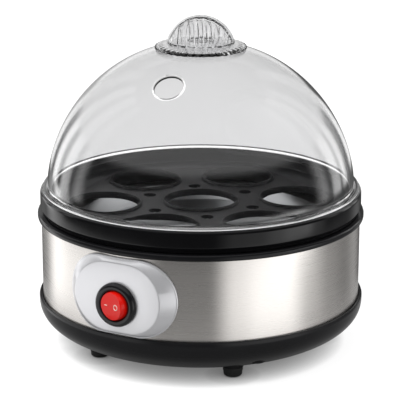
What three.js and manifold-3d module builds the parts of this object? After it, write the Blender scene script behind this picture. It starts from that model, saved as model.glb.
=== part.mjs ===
// A countertop egg boiler: a bowl-shaped base with a steel band, a lit rocker switch on a raised panel, a
// heating plate, a seven-seat egg tray and a clear domed lid. Millimetres, +Z up, the switch faces -Y and the
// feet stand on z = 0.
import * as THREE from 'three';
import { mergeVertices } from 'three/addons/utils/BufferGeometryUtils.js';
import Module from 'manifold-3d';

const wasm = await Module();
wasm.setup();

// Driving dimensions. Places are distances from the body's axis or heights above the feet's flat ends.
const gap = 0.3; // left between pieces that touch
const ringSides = 40; // sides of the large round pieces
const flatness = 0.02; // faces that lie this close to one plane are joined

const foot = { azimuths: [-31, 44, 116, 187, 258], circle: 62, radius: 5.2, pad: 4.5, height: 5 };
const footStem = { radius: 2.4, barb: 3.3, tip: 1.8 };
const footBoss = { radius: 5.6, top: 9.5, hole: 2.8 };
const bowl = { bottom: 5, flat: 46, shoulder: 25, rim: 27, radius: 87.2, wall: 2.2, curve: 2.3, ledge: 23.5 };
const airSlot = { count: 8, circle: 18, width: 3, length: 14 };
const band = { radius: 85.2, wall: 0.7, bottom: bowl.ledge + gap, top: 70.9 };
const lip = { radius: 87.2, bottom: 69.7, top: 72.7, groove: 71.2 };
const plateSeat = { inner: 66, outer: 77, top: 65, wall: 2 };
const channel = { inner: 79, outer: 82, top: 70.5 };
const plate = { flange: 74.3, dish: 66.8, floor: 58.8, floorRadius: 61.5, metal: 0.8, rim: 67.3 };
const plateBoss = { radius: 9.4, rise: 0.6 };
const seal = { inner: 67.2, outer: 71.6 };
const spreader = { radius: 52, bottom: 56.5 };
const tray = { radius: 85.7, bottom: 73.1, top: 84.5, wall: 83, turn: 5 };
const deck = { top: 76, thickness: 2, skirt: 76.3, skirtWall: 1.6, skirtLow: 68 };
const seat = { count: 6, circle: 52, radius: 18.5, rim: 1.7, rise: 1.4, steamCircle: 30, steamRadius: 3.5 };
const dome = { radius: 81.8, spring: 85.5, height: 76.7, wall: 2, flat: 2.11, rise: 1.84 };
const lidFlange = { radius: 84.4, thickness: 1.2, skirtLow: 81.6 };
const vent = { radius: 7.5, distance: 46.3, height: 148.7, lean: 34, azimuth: -12.7 };
const knob = { halfWidth: 18.2, halfDepth: 17.4, base: 158.4, wall: 2, border: 1.6, rim: 2.2 };
const flute = { pitch: 4.65, depth: 0.9 };
const knobFoot = { radius: 24.2, thickness: 1.6, opening: 7 };
const knobLeg = { radius: 1.6, hole: 2.1, spacing: 22, head: 2.8, low: 157.1, headTop: 158.3, top: 162.6 };
const lidTurn = 20.5; // degrees from the switch to the knob's broad side

const panel = { middle: 47.9, halfWidth: 31.2, halfHeight: 20.6, standoff: 0.9 };
const panelFace = { distance: 88.3, halfWidth: 24.3, halfHeight: 18 };
const peg = { places: [-18, 18], radius: 2.6, pilot: 1.4, hole: 3, tip: 80 };
const switchHeight = 44.5;
const bezel = { radius: 11.5, crest: 91.8, mouth: 7.8, body: 9.8, back: 76, floor: 78 };
const wing = { reach: 1.5, front: 83.2, back: 79, halfHeight: 2 };
const rocker = { pivot: 90.2, ball: 7.5, top: 3.06, low: -4, hollow: 5, tilt: 14 };
const dish = { depth: 0.6, radius: 40 };
const rockerPin = { radius: 0.9, reach: 9 };
const lever = { pivot: 81, length: 10.4, width: 4, thickness: 0.6, tilt: 7 };
const plunger = { tip: -8.2, stem: 0.9, collar: 2.2, collarTop: -5.9, collarLow: -6.7 };
const coil = { radius: 1.75, wire: 0.28, turns: 4, top: -0.5, bottom: -5.5, steps: 8, sides: 5 };
const terminal = { places: [-5, 0, 5], thickness: 0.8, width: 4.8, tip: 67, end: 79.4, middleEnd: 80 };
const lamp = { halfLength: 4, radius: 1.4, drop: -5.2, distance: 81 };

const housingPost = { azimuths: [-130, -50, 50, 130], circle: 76.5, radius: 4.8, top: 40, seat: 34, recess: 3.4 };
const ringBoss = 4; // radius of the top ring's screw bosses
const gland = { height: 36, bore: 3.4, inner: 82, tip: 94.8, flange: 8, innerFlange: 7.4, neck: 5.9 };
const glandHoleRadius = 6.3;
const clampBar = { y: 72, spacing: 18, post: 3, seat: 31, halfLength: 13, halfWidth: 3.5, thickness: 5 };
const screw = { shank: 1.4, clearance: 1.9, pilot: 1.7, head: 3, headHeight: 2 };
const element = { radius: 42, tube: 3.3, middle: 52.6, opening: 34, legLow: 42 };
const strap = { top: 48.5, thickness: 1.2, width: 12, reach: 78, tab: 62.7, bend: 56.2, bendTop: 67.2 };
const strapScrew = 74.5; // distance of the two strap screws from the axis
const control = { foot: 6.5, cap: 8, step: 2, bladeReach: 13 };
const fuse = { x: 28, z: 43.9, radius: 1.8, length: 18 };
const clip = { halfWidth: 3.4, halfLength: 2.5, low: 41, sheet: 0.8 };
const earth = { x: -34, ring: 4, tongueEnd: 12, sheet: 0.8 };
const joiner = { y: 32, halfLength: 17, halfWidth: 7, low: 12.3, top: 24, wireHeight: 20, wires: [-11, 11] };
const insulationRadius = 1.1;
const leads = {
  lead_live: {
    color: 0x7a4a2a,
    path: [[-11, 24, 20], [-16, 10, 17], [-40, -20, 18], [-34, -50, 26], [-8, -60, 40], [-5, -66, 44.5]],
  },
  lead_switched: {
    color: 0x7a4a2a,
    path: [[5, -66, 44.5], [10, -60, 40], [26, -44, 32], [36, -24, 32], [30, -13, 40], [28, -10.2, 43.9]],
  },
  lead_fused: {
    color: 0x3a3a3a,
    path: [[28, 10.2, 43.9], [28, 14, 40], [26, 26, 33], [17, 38, 32], [10, 41, 34], [8.9, 41, 35.8]],
  },
  lead_neutral: {
    color: 0x2f5f9e,
    path: [[11, 24, 20], [12, 16, 24], [0, 16, 30], [-9, 26, 32], [-9.4, 38, 33], [-9, 41, 35.8]],
  },
  lead_earth: {
    color: 0x6f9a3a,
    path: [[-34, 12.4, 46.6], [-34, 18, 44], [-34, 28, 34], [-28, 34, 22], [-18, 36, 20]],
  },
};

// Materials
const plastic = (color, roughness) => new THREE.MeshStandardMaterial({ color, roughness, metalness: 0 });
const metal = (color, roughness) => new THREE.MeshStandardMaterial({ color, roughness, metalness: 1 });
const clearPlastic = plastic(0xeef2f4, 0.05);
clearPlastic.transparent = true;
clearPlastic.opacity = 0.3;
const blackPlastic = plastic(0x1b1b1c, 0.35);
const silverPlastic = plastic(0xe4e4e8, 0.3);
const redPlastic = plastic(0xe3160f, 0.2);
const paleNylon = plastic(0xe9e6da, 0.5);
const blackRubber = plastic(0x161616, 0.7);
const paleRubber = plastic(0xd8d4cc, 0.7);
const brushedSteel = metal(0xc4bdb6, 0.3);
const zincSteel = metal(0xb5b7ba, 0.4);
const aluminium = metal(0xc9cbce, 0.35);
const brass = metal(0xc9a254, 0.35);
const lampGlass = plastic(0xff7a3c, 0.1);

const radians = THREE.MathUtils.degToRad;

// Solids and booleans
function welded(geometry) {
  const bare = geometry.clone();
  bare.deleteAttribute('normal');
  bare.deleteAttribute('uv');
  const merged = mergeVertices(bare, 1e-4);
  const faces = [];
  for (let i = 0; i < merged.index.count; i += 3) {
    const [a, b, c] = [0, 1, 2].map((corner) => merged.index.getX(i + corner));
    if (a !== b && b !== c && c !== a) faces.push(a, b, c);
  }
  merged.setIndex(faces);
  return merged;
}

function solidOf(geometry) {
  const { attributes, index } = welded(geometry);
  const vertProperties = new Float32Array(attributes.position.array);
  const triVerts = new Uint32Array(index.array);
  return new wasm.Manifold(new wasm.Mesh({ numProp: 3, vertProperties, triVerts }));
}

function geometryOf(solid) {
  const { vertProperties, triVerts } = solid.simplify(flatness).getMesh();
  const geometry = new THREE.BufferGeometry();
  geometry.setAttribute('position', new THREE.BufferAttribute(vertProperties, 3));
  geometry.setIndex(new THREE.BufferAttribute(triVerts, 1));
  return geometry;
}

function shaped(base, { within = [], add = [], cut = [] }) {
  let solid = solidOf(base);
  for (const other of within) solid = solid.intersect(solidOf(other));
  for (const other of add) solid = solid.add(solidOf(other));
  for (const other of cut) solid = solid.subtract(solidOf(other));
  return geometryOf(solid);
}

// Turns a [radius, height] outline about the Z axis. A solid one starts and ends at radius 0.
function revolve(outline, sides = ringSides) {
  const next = (i) => outline[(i + 1) % outline.length];
  const area = outline.reduce((sum, [r, z], i) => sum + r * next(i)[1] - next(i)[0] * z, 0);
  const loop = area > 0 ? [...outline] : [...outline].reverse();
  const onAxis = loop[0][0] === 0 && loop.at(-1)[0] === 0;
  if (!onAxis) loop.push(loop[0]);
  const points = loop.map(([r, z]) => new THREE.Vector2(r, z));
  return new THREE.LatheGeometry(points, sides).rotateX(Math.PI / 2);
}

function post(radius, low, high, sides = 12) {
  const bar = new THREE.CylinderGeometry(radius, radius, high - low, sides);
  return bar.rotateX(Math.PI / 2).translate(0, 0, (low + high) / 2);
}

function barAlongY(radius, from, to, sides = 12) {
  return new THREE.CylinderGeometry(radius, radius, to - from, sides).translate(0, (from + to) / 2, 0);
}

function block([x0, x1], [y0, y1], [z0, z1]) {
  const box = new THREE.BoxGeometry(x1 - x0, y1 - y0, z1 - z0);
  return box.translate((x0 + x1) / 2, (y0 + y1) / 2, (z0 + z1) / 2);
}

// Azimuths are in degrees from the front, -Y, towards +X.
function polar(azimuth, radius, z = 0) {
  const angle = radians(azimuth);
  return new THREE.Vector3(radius * Math.sin(angle), -radius * Math.cos(angle), z);
}

function aroundAxis(geometry, azimuth, radius) {
  const { x, y } = polar(azimuth, radius);
  return geometry.clone().rotateZ(radians(azimuth)).translate(x, y, 0);
}

// Joins rings of equal point counts into one closed solid with a flat or convex first and last face.
function loft(rings) {
  const count = rings[0].length;
  const faces = [];
  for (let level = 0; level + 1 < rings.length; level++) {
    for (let i = 0; i < count; i++) {
      const [a, b] = [level * count + i, level * count + ((i + 1) % count)];
      faces.push(a, b, b + count, a, b + count, a + count);
    }
  }
  const last = (rings.length - 1) * count;
  for (let i = 1; i + 1 < count; i++) faces.push(0, i + 1, i, last, last + i, last + i + 1);
  const geometry = new THREE.BufferGeometry().setFromPoints(rings.flat());
  geometry.setIndex(faces);
  return outward(geometry);
}

function outward(geometry) {
  const at = (i) => new THREE.Vector3().fromBufferAttribute(geometry.attributes.position, geometry.index.getX(i));
  let volume = 0;
  for (let i = 0; i < geometry.index.count; i += 3) volume += at(i).dot(at(i + 1).cross(at(i + 2)));
  if (volume < 0) geometry.setIndex(Array.from(geometry.index.array).reverse());
  return geometry;
}

function tube(points, radius, steps, sides = 8) {
  const section = new THREE.Shape();
  for (let i = 0; i < sides; i++) {
    const angle = (2 * Math.PI * i) / sides;
    const [x, y] = [radius * Math.cos(angle), radius * Math.sin(angle)];
    if (i === 0) section.moveTo(x, y);
    else section.lineTo(x, y);
  }
  const extrudePath = new THREE.CatmullRomCurve3(points, false, 'centripetal');
  return new THREE.ExtrudeGeometry(section, { steps, extrudePath });
}

// A pan-head screw whose head's underside is at z = 0 and whose shank points up.
function screwShape(length, shank = screw.shank, head = screw.head) {
  const low = -screw.headHeight;
  return revolve([[0, low], [head, low], [head, 0], [shank, 0], [shank, length], [0, length]], 8);
}

const boiler = new THREE.Group();

function place(name, geometry, material, parent = boiler) {
  const mesh = new THREE.Mesh(geometry, material);
  mesh.name = name;
  parent.add(mesh);
  return mesh;
}

// Angles that divide a quarter turn, for the rounded profiles of the bowl and the dome.
function quarterTurn(steps) {
  return Array.from({ length: steps + 1 }, (_, i) => (i / steps) * (Math.PI / 2));
}

// Base: the bowl-shaped lower housing on its feet
function bowlCurve({ radius, low, high }, steps) {
  return quarterTurn(steps).reverse().map((t) => [
    bowl.flat + (radius - bowl.flat) * Math.cos(t) ** (2 / bowl.curve),
    high - (high - low) * Math.sin(t) ** (2 / bowl.curve),
  ]);
}

function baseBowl() {
  const { bottom, radius, wall, rim, ledge, shoulder } = bowl;
  const floor = bottom + wall;
  const outer = bowlCurve({ radius, low: bottom, high: shoulder }, 7);
  const inner = bowlCurve({ radius: radius - wall, low: floor, high: ledge }, 4);
  inner.at(-1)[0] = band.radius - 2;
  const mouth = band.radius + gap;
  const edge = [[radius, rim - 0.6], [radius - 0.6, rim], [mouth, rim], [mouth, ledge]];
  const shell = revolve([[0, bottom], ...outer, ...edge, ...inner.reverse(), [0, floor]]);
  const inside = revolve([[0, bottom], ...outer, [82, rim], [82, 45], [0, 45]]);

  const add = [];
  const cut = [];
  for (const azimuth of housingPost.azimuths) {
    const solidPost = aroundAxis(post(housingPost.radius, bottom + 1, housingPost.top), azimuth, housingPost.circle);
    add.push(shaped(solidPost, { within: [inside] }));
    cut.push(aroundAxis(post(housingPost.recess, 0, housingPost.seat), azimuth, housingPost.circle));
    cut.push(aroundAxis(post(screw.clearance, 0, housingPost.top + 5, 8), azimuth, housingPost.circle));
  }
  for (const azimuth of foot.azimuths) {
    add.push(aroundAxis(post(footBoss.radius, bottom, footBoss.top), azimuth, foot.circle));
    cut.push(aroundAxis(post(footBoss.hole, 0, footBoss.top + 5), azimuth, foot.circle));
  }
  for (const side of [-1, 1]) {
    const x = (side * clampBar.spacing) / 2;
    add.push(post(clampBar.post, floor + 1, clampBar.seat).translate(x, clampBar.y, 0));
    cut.push(post(screw.pilot, clampBar.seat - 8, clampBar.seat + 5, 8).translate(x, clampBar.y, 0));
  }
  add.push(post(screw.pilot * 2, bottom + 1, joiner.low - gap).translate(0, joiner.y, 0));
  cut.push(post(screw.pilot, bottom + 1.5, joiner.low + 5, 8).translate(0, joiner.y, 0));
  const { count, circle, width, length } = airSlot;
  const slot = block([-width / 2, width / 2], [-length / 2, length / 2], [0, floor + 3]);
  for (let i = 0; i < count; i++) cut.push(aroundAxis(slot, (360 / count) * (i + 0.5), circle));
  return shaped(shell, { add, cut });
}

function footShape() {
  const { pad, radius, height } = foot;
  const { radius: stem, barb, tip } = footStem;
  const neck = footBoss.top + gap;
  return revolve([
    [0, 0], [pad, 0], [radius, 1], [radius, height - gap], [stem, height - gap],
    [stem, neck], [barb, neck], [tip, neck + 3], [0, neck + 3],
  ], 10);
}

function addBase() {
  place('base_bowl', baseBowl(), blackPlastic);
  foot.azimuths.forEach((azimuth, i) => {
    place(`foot_${i + 1}`, footShape(), blackRubber).position.copy(polar(azimuth, foot.circle));
  });
  housingPost.azimuths.forEach((azimuth, i) => {
    const mesh = place(`housing_screw_${i + 1}`, screwShape(18), zincSteel);
    mesh.position.copy(polar(azimuth, housingPost.circle, housingPost.seat - gap));
  });
}

// Body: the steel band and the black upper housing that carries the heating plate
function steelBand() {
  const inner = band.radius - band.wall;
  const sleeve = revolve([
    [band.radius, band.bottom], [band.radius, band.top], [inner, band.top], [inner, band.bottom],
  ]);
  const switchHole = barAlongY(bezel.body + 0.8, -90, -70, 28).translate(0, 0, switchHeight);
  const pegHoles = peg.places.map((x) => barAlongY(peg.hole, -90, -70).translate(x, 0, panel.middle));
  const glandHole = barAlongY(glandHoleRadius, 70, 90, 24).translate(0, 0, gland.height);
  return shaped(sleeve, { cut: [switchHole, glandHole, ...pegHoles] });
}

function topRing() {
  const { inner, outer, top, wall } = plateSeat;
  const under = top - wall;
  const [bandInner, bandOuter] = [band.radius - band.wall - gap, band.radius + gap];
  const ring = revolve([
    [inner, top], [inner, under], [channel.inner, under], [channel.inner, channel.top],
    [channel.outer, channel.top], [channel.outer, under], [bandInner, under], [bandInner, lip.groove],
    [bandOuter, lip.groove], [bandOuter, lip.bottom], [lip.radius - 0.7, lip.bottom],
    [lip.radius, lip.bottom + 0.9], [lip.radius, lip.top - 0.8], [lip.radius - 0.6, lip.top],
    [outer, lip.top], [outer, top],
  ]);
  const add = [];
  const cut = [];
  for (const azimuth of housingPost.azimuths) {
    const boss = post(ringBoss, housingPost.top + gap, under + 0.5);
    const pilot = post(screw.pilot, housingPost.top - 2, housingPost.top + 16, 8);
    add.push(aroundAxis(boss, azimuth, housingPost.circle));
    cut.push(aroundAxis(pilot, azimuth, housingPost.circle));
  }
  for (const side of [-1, 1]) cut.push(post(screw.pilot, 60, 70, 8).translate(side * strapScrew, 0, 0));
  return shaped(ring, { add, cut });
}

function addBody() {
  place('steel_band', steelBand(), brushedSteel);
  place('top_ring', topRing(), blackPlastic);
}

// Heating: the dished plate, its seal, and the element, strap and controls beneath it
function heatingPlate() {
  const { flange, dish, floor, floorRadius, metal: sheet, rim } = plate;
  const under = floor - sheet;
  const { radius: boss, rise } = plateBoss;
  return shaped(revolve([
    [0, under + rise], [boss - 1.2, under + rise], [boss - 0.4, under], [floorRadius - 0.7, under],
    [floorRadius + 0.9, under + 1.6], [dish - 1.2, rim - sheet], [flange, rim - sheet], [flange, rim], [dish, rim],
    [floorRadius + 1.8, floor + 1.2], [floorRadius, floor], [boss + 0.8, floor], [boss, floor + rise],
    [0, floor + rise],
  ]), {});
}

function plateSeal() {
  const [low, high] = [plateSeat.top + gap, plate.rim - plate.metal - gap];
  return revolve([[seal.inner, low], [seal.outer, low], [seal.outer, high], [seal.inner, high]], 24);
}

function heatingElement() {
  const { radius, tube: tubeRadius, middle, opening, legLow } = element;
  const half = radians(opening / 2);
  const legAngle = half * 0.75;
  const arcSteps = 20;
  const at = (angle, z) => new THREE.Vector3(radius * Math.sin(angle), radius * Math.cos(angle), z);
  const points = [at(legAngle, legLow), at(half * 0.8, legLow + 5)];
  for (let i = 0; i <= arcSteps; i++) points.push(at(half + ((2 * Math.PI - 2 * half) * i) / arcSteps, middle));
  points.push(at(-half * 0.8, legLow + 5), at(-legAngle, legLow));
  const pins = [1, -1].map((side) => {
    const { x, y } = at(side * legAngle, 0);
    return post(1.2, legLow - 5, legLow + 1.5, 8).translate(x, y, 0);
  });
  return shaped(tube(points, tubeRadius, 28, 7), { add: pins });
}

function plateStrap() {
  const { top, thickness, width, reach, tab, bend, bendTop } = strap;
  const slant = 0.8; // how much further out the bends' lower corners are
  const half = [
    [bend, top], [bendTop, tab], [reach, tab], [reach, tab - thickness], [bendTop + slant, tab - thickness],
    [bend + slant, top - thickness],
  ];
  const mirrored = half.map(([x, z]) => [-x, z]).reverse();
  const shape = new THREE.Shape([...half, ...mirrored].map(([x, z]) => new THREE.Vector2(x, z)));
  const sheet = new THREE.ExtrudeGeometry(shape, { depth: width, bevelEnabled: false });
  sheet.rotateX(Math.PI / 2).translate(0, width / 2, 0);
  const holes = [-strapScrew, earth.x, strapScrew].map((x) => post(screw.clearance, 40, 70, 8).translate(x, 0, 0));
  return shaped(sheet, { cut: holes });
}

function thermostat() {
  const low = strap.top + gap;
  const high = spreader.bottom - gap;
  const { foot: footRadius, cap, step, bladeReach } = control;
  const body = revolve([
    [0, low], [footRadius, low], [footRadius, low + step], [cap, low + step], [cap, high], [0, high],
  ], 16);
  const blades = block([-2.4, 2.4], [-bladeReach, bladeReach], [low + 0.6, low + 1.4]);
  return shaped(body, { add: [blades] });
}

function fuseClip() {
  const { halfWidth, halfLength, low, sheet } = clip;
  const top = strap.top - strap.thickness - gap;
  const outer = block([fuse.x - halfWidth, fuse.x + halfWidth], [-halfLength, halfLength], [low, top]);
  const [near, far] = [fuse.x - halfWidth + sheet, fuse.x + halfWidth - sheet];
  return shaped(outer, { cut: [block([near, far], [-halfLength - 1, halfLength + 1], [low - 1, top - sheet])] });
}

function earthLug() {
  const high = strap.top - strap.thickness - gap;
  const low = high - earth.sheet;
  const ring = post(earth.ring, low, high).translate(earth.x, 0, 0);
  const tongue = block([earth.x - earth.ring, earth.x + earth.ring], [2, earth.tongueEnd], [low, high]);
  const hole = post(screw.clearance, low - 1, high + 1, 8).translate(earth.x, 0, 0);
  return shaped(ring, { add: [tongue], cut: [hole] });
}

function addHeating() {
  place('heating_plate', heatingPlate(), aluminium);
  place('plate_seal', plateSeal(), paleRubber);
  const underPlate = plate.floor - plate.metal - gap;
  place('heat_spreader', post(spreader.radius, spreader.bottom, underPlate, 36), aluminium);
  place('heating_element', heatingElement(), zincSteel);
  place('plate_strap', plateStrap(), zincSteel);
  for (const [name, side] of [['left', -1], ['right', 1]]) {
    const mesh = place(`strap_screw_${name}`, screwShape(2.8), zincSteel);
    mesh.position.set(side * strapScrew, 0, strap.tab - strap.thickness - gap);
  }
  place('thermostat', thermostat(), paleNylon);
  const fuseBody = barAlongY(fuse.radius, -fuse.length / 2, fuse.length / 2).translate(fuse.x, 0, fuse.z);
  place('thermal_fuse', fuseBody, zincSteel);
  place('fuse_clip', fuseClip(), zincSteel);
  place('earth_lug', earthLug(), brass);
  const lugLow = strap.top - strap.thickness - gap - earth.sheet;
  place('earth_screw', screwShape(3, 1.3, 2.8), brass).position.set(earth.x, 0, lugLow - gap);
}

// Switch: the raised panel and the round rocker switch in it
function stadium(halfWidth, halfHeight, steps) {
  const straight = halfWidth - halfHeight;
  const points = [];
  for (const side of [1, -1]) {
    for (let i = 0; i <= steps; i++) {
      const turn = (Math.PI * i) / steps - (side * Math.PI) / 2;
      points.push([side * straight + halfHeight * Math.cos(turn), halfHeight * Math.sin(turn)]);
    }
  }
  return points;
}

function switchPanel() {
  const steps = 14;
  const face = stadium(panelFace.halfWidth, panelFace.halfHeight, steps);
  const edge = stadium(panel.halfWidth, panel.halfHeight, steps);
  const onBand = band.radius + gap;
  const front = face.map(([u, v]) => new THREE.Vector3(u, -panelFace.distance, panel.middle + v));
  const rim = edge.map(([u, v]) => {
    const angle = u / band.radius;
    const radius = onBand + panel.standoff;
    return new THREE.Vector3(radius * Math.sin(angle), -radius * Math.cos(angle), panel.middle + v);
  });
  const behind = rim.map((point) => new THREE.Vector3(point.x, -66, point.z));
  const switchHole = barAlongY(bezel.body + 0.4, -95, -70, 28).translate(0, 0, switchHeight);
  const shield = shaped(loft([front, rim, behind]), { cut: [post(onBand, 0, 100, 120), switchHole] });
  const pegs = peg.places.map((x) => barAlongY(peg.radius, -86, -peg.tip).translate(x, 0, panel.middle));
  const pilots = peg.places.map((x) => barAlongY(peg.pilot, -85, 5 - peg.tip, 10).translate(x, 0, panel.middle));
  return shaped(shield, { add: pegs, cut: pilots });
}

function switchHousing() {
  const { radius, crest, mouth, body, back, floor } = bezel;
  const onPanel = panelFace.distance + gap;
  const cup = revolve([
    [0, back], [body, back], [body, onPanel], [radius, onPanel], [radius, onPanel + 0.8],
    [radius - 0.6, crest - 0.7], [radius - 1.5, crest], [mouth + 0.5, crest], [mouth, crest - 0.6],
    [mouth, floor], [0, floor],
  ], 24).rotateX(Math.PI / 2).translate(0, 0, switchHeight);
  const [low, high] = [switchHeight - wing.halfHeight, switchHeight + wing.halfHeight];
  const wings = [[-body - wing.reach, 0.6 - body], [body - 0.6, body + wing.reach]].map(
    (across) => block(across, [-wing.front, -wing.back], [low, high]),
  );
  const reach = rockerPin.reach + 0.4;
  const pinHole = post(rockerPin.radius + 0.35, switchHeight - reach, switchHeight + reach);
  pinHole.translate(0, -rocker.pivot, 0);
  const slots = terminal.places.map((x) => {
    const [halfThickness, halfWidth] = [terminal.thickness / 2 + gap, terminal.width / 2 + gap];
    const upright = [switchHeight - halfWidth, switchHeight + halfWidth];
    return block([x - halfThickness, x + halfThickness], [-floor - 1, 1 - back], upright);
  });
  return shaped(cup, { add: wings, cut: [pinHole, ...slots] });
}

function terminalBlade(x) {
  const { thickness, width, tip, end, middleEnd } = terminal;
  const upright = [switchHeight - width / 2, switchHeight + width / 2];
  return block([x - thickness / 2, x + thickness / 2], [x === 0 ? -middleEnd : -end, -tip], upright);
}

function neonLamp() {
  const { halfLength, radius, drop, distance } = lamp;
  const half = [[1, halfLength - 0.3], [radius, halfLength - 1]];
  const mirrored = half.map(([r, z]) => [r, -z]).reverse();
  const bulb = revolve([[0, halfLength], ...half, ...mirrored, [0, -halfLength]], 12);
  return bulb.rotateY(Math.PI / 2).translate(0, -distance, switchHeight - drop);
}

// The rocker and what rides in it are drawn upright about its pivot and then tilted, the O side standing out.
function rockerShape() {
  const { ball, top, low, hollow } = rocker;
  const heights = [0, 0.2, 0.4, 0.6, 0.8, 1].map((share) => low + (top - low) * share);
  const arc = heights.map((height) => [Math.sqrt(ball ** 2 - height ** 2), height]);
  const body = revolve([[0, low], ...arc, [0, top]], 24).rotateX(Math.PI / 2);
  const scoop = post(dish.radius, -15, 15, 64).translate(0, -(top - dish.depth + dish.radius), 0);
  const under = barAlongY(hollow, -0.3, 10, 16);
  const pins = post(rockerPin.radius, -rockerPin.reach, rockerPin.reach);
  const pocket = post(hollow, -6, 6, 8);
  return shaped(body, { add: [shaped(pins, { cut: [pocket] })], cut: [scoop, under] });
}

function plungerShape() {
  const { tip, stem, collar, collarTop, collarLow } = plunger;
  return revolve([
    [0, tip], [stem * 0.6, tip + 0.2], [stem, tip + 0.8], [stem, collarLow], [collar, collarLow],
    [collar, collarTop], [stem, collarTop], [stem, 0], [0, 0],
  ], 10).rotateX(Math.PI / 2);
}

function coilPoints(samples) {
  const { radius, turns, top, bottom } = coil;
  return Array.from({ length: samples + 1 }, (_, i) => {
    const angle = (2 * Math.PI * turns * i) / samples;
    const height = top + ((bottom - top) * i) / samples;
    return new THREE.Vector3(radius * Math.cos(angle), -height, radius * Math.sin(angle));
  });
}

function leastCoilGap() {
  const perTurn = 48;
  const points = coilPoints(perTurn * coil.turns);
  let least = Infinity;
  points.forEach((point, i) => {
    for (let j = i + perTurn / 2; j < points.length; j++) least = Math.min(least, point.distanceTo(points[j]));
  });
  return least - 2 * coil.wire;
}

function addSwitch() {
  place('switch_panel', switchPanel(), silverPlastic);
  peg.places.forEach((x, i) => {
    const shape = screwShape(4.5, 1.1, 2.4).rotateX(Math.PI / 2);
    place(`panel_screw_${i + 1}`, shape, zincSteel).position.set(x, gap - peg.tip, panel.middle);
  });
  place('switch_housing', switchHousing(), blackPlastic);
  terminal.places.forEach((x, i) => place(`switch_terminal_${i + 1}`, terminalBlade(x), brass));
  place('neon_lamp', neonLamp(), lampGlass);

  const rocking = new THREE.Group();
  rocking.position.set(0, -rocker.pivot, switchHeight);
  rocking.rotation.z = radians(-rocker.tilt);
  boiler.add(rocking);
  place('switch_rocker', rockerShape(), redPlastic, rocking);
  place('contact_plunger', plungerShape(), paleNylon, rocking);
  const spring = tube(coilPoints(coil.turns * 12), coil.wire, coil.turns * coil.steps, coil.sides);
  place('contact_spring', spring, zincSteel, rocking);

  const [halfLength, halfWidth] = [lever.length / 2, lever.width / 2];
  const bar = block([-halfLength, halfLength], [-lever.thickness, 0], [-halfWidth, halfWidth]);
  const contact = place('contact_lever', bar, brass);
  contact.position.set(0, -lever.pivot, switchHeight);
  contact.rotation.z = radians(lever.tilt);
}

// Inlet: the rubber gland at the back, and what anchors and joins the leads inside
function cordGland() {
  const { bore, inner, tip, flange, innerFlange, neck, height } = gland;
  const onBand = band.radius + gap;
  return revolve([
    [bore, inner], [innerFlange, inner], [innerFlange, inner + 1.7], [neck, inner + 1.7], [neck, onBand],
    [flange, onBand], [flange, onBand + 1.6], [flange - 1.4, onBand + 2.4], [neck, onBand + 2.4], [4.8, tip],
    [bore, tip],
  ], 18).rotateX(-Math.PI / 2).translate(0, 0, height);
}

function cordClamp() {
  const { y, spacing, seat: low, halfLength, halfWidth, thickness } = clampBar;
  const bar = block([-halfLength, halfLength], [y - halfWidth, y + halfWidth], [low + gap, low + thickness]);
  const saddle = barAlongY(3, y - 20, y + 10, 16).translate(0, 0, low - 0.6);
  const hole = post(screw.clearance, low - 1, low + thickness + 1, 8).translate(0, y, 0);
  const holes = [-1, 1].map((side) => hole.clone().translate((side * spacing) / 2, 0, 0));
  return shaped(bar, { cut: [saddle, ...holes] });
}

function terminalBlock() {
  const { y, halfLength, halfWidth, low, top, wireHeight, wires } = joiner;
  const body = block([-halfLength, halfLength], [y - halfWidth, y + halfWidth], [low, top]);
  const wireWays = wires.map((x) => barAlongY(2, y - 12, y + 13, 10).translate(x, 0, wireHeight));
  const fixing = post(screw.clearance, 0, top + 1, 8).translate(0, y, 0);
  const headWell = post(screw.head + 0.4, low + 3.7, top + 1).translate(0, y, 0);
  return shaped(body, { cut: [...wireWays, fixing, headWell] });
}

function addInlet() {
  place('cord_gland', cordGland(), blackRubber);
  place('cord_clamp', cordClamp(), blackPlastic);
  [-1, 1].forEach((side, i) => {
    const mesh = place(`clamp_screw_${i + 1}`, screwShape(9).rotateX(Math.PI), zincSteel);
    mesh.position.set((side * clampBar.spacing) / 2, clampBar.y, clampBar.seat + clampBar.thickness + gap);
  });
  place('terminal_block', terminalBlock(), paleNylon);
  const blockScrew = place('block_screw', screwShape(7).rotateX(Math.PI), zincSteel);
  blockScrew.position.set(0, joiner.y, joiner.low + 3.7 + gap);
}

function addLeads() {
  for (const [name, { color, path }] of Object.entries(leads)) {
    const points = path.map(([x, y, z]) => new THREE.Vector3(x, y, z));
    place(name, tube(points, insulationRadius, 10, 5), plastic(color, 0.6));
  }
}

// Egg tray: a pan with a deck of seven open seats
function seatPlaces() {
  const ring = Array.from({ length: seat.count }, (_, i) => polar((360 / seat.count) * i, seat.circle));
  return [new THREE.Vector3(), ...ring];
}

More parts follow.
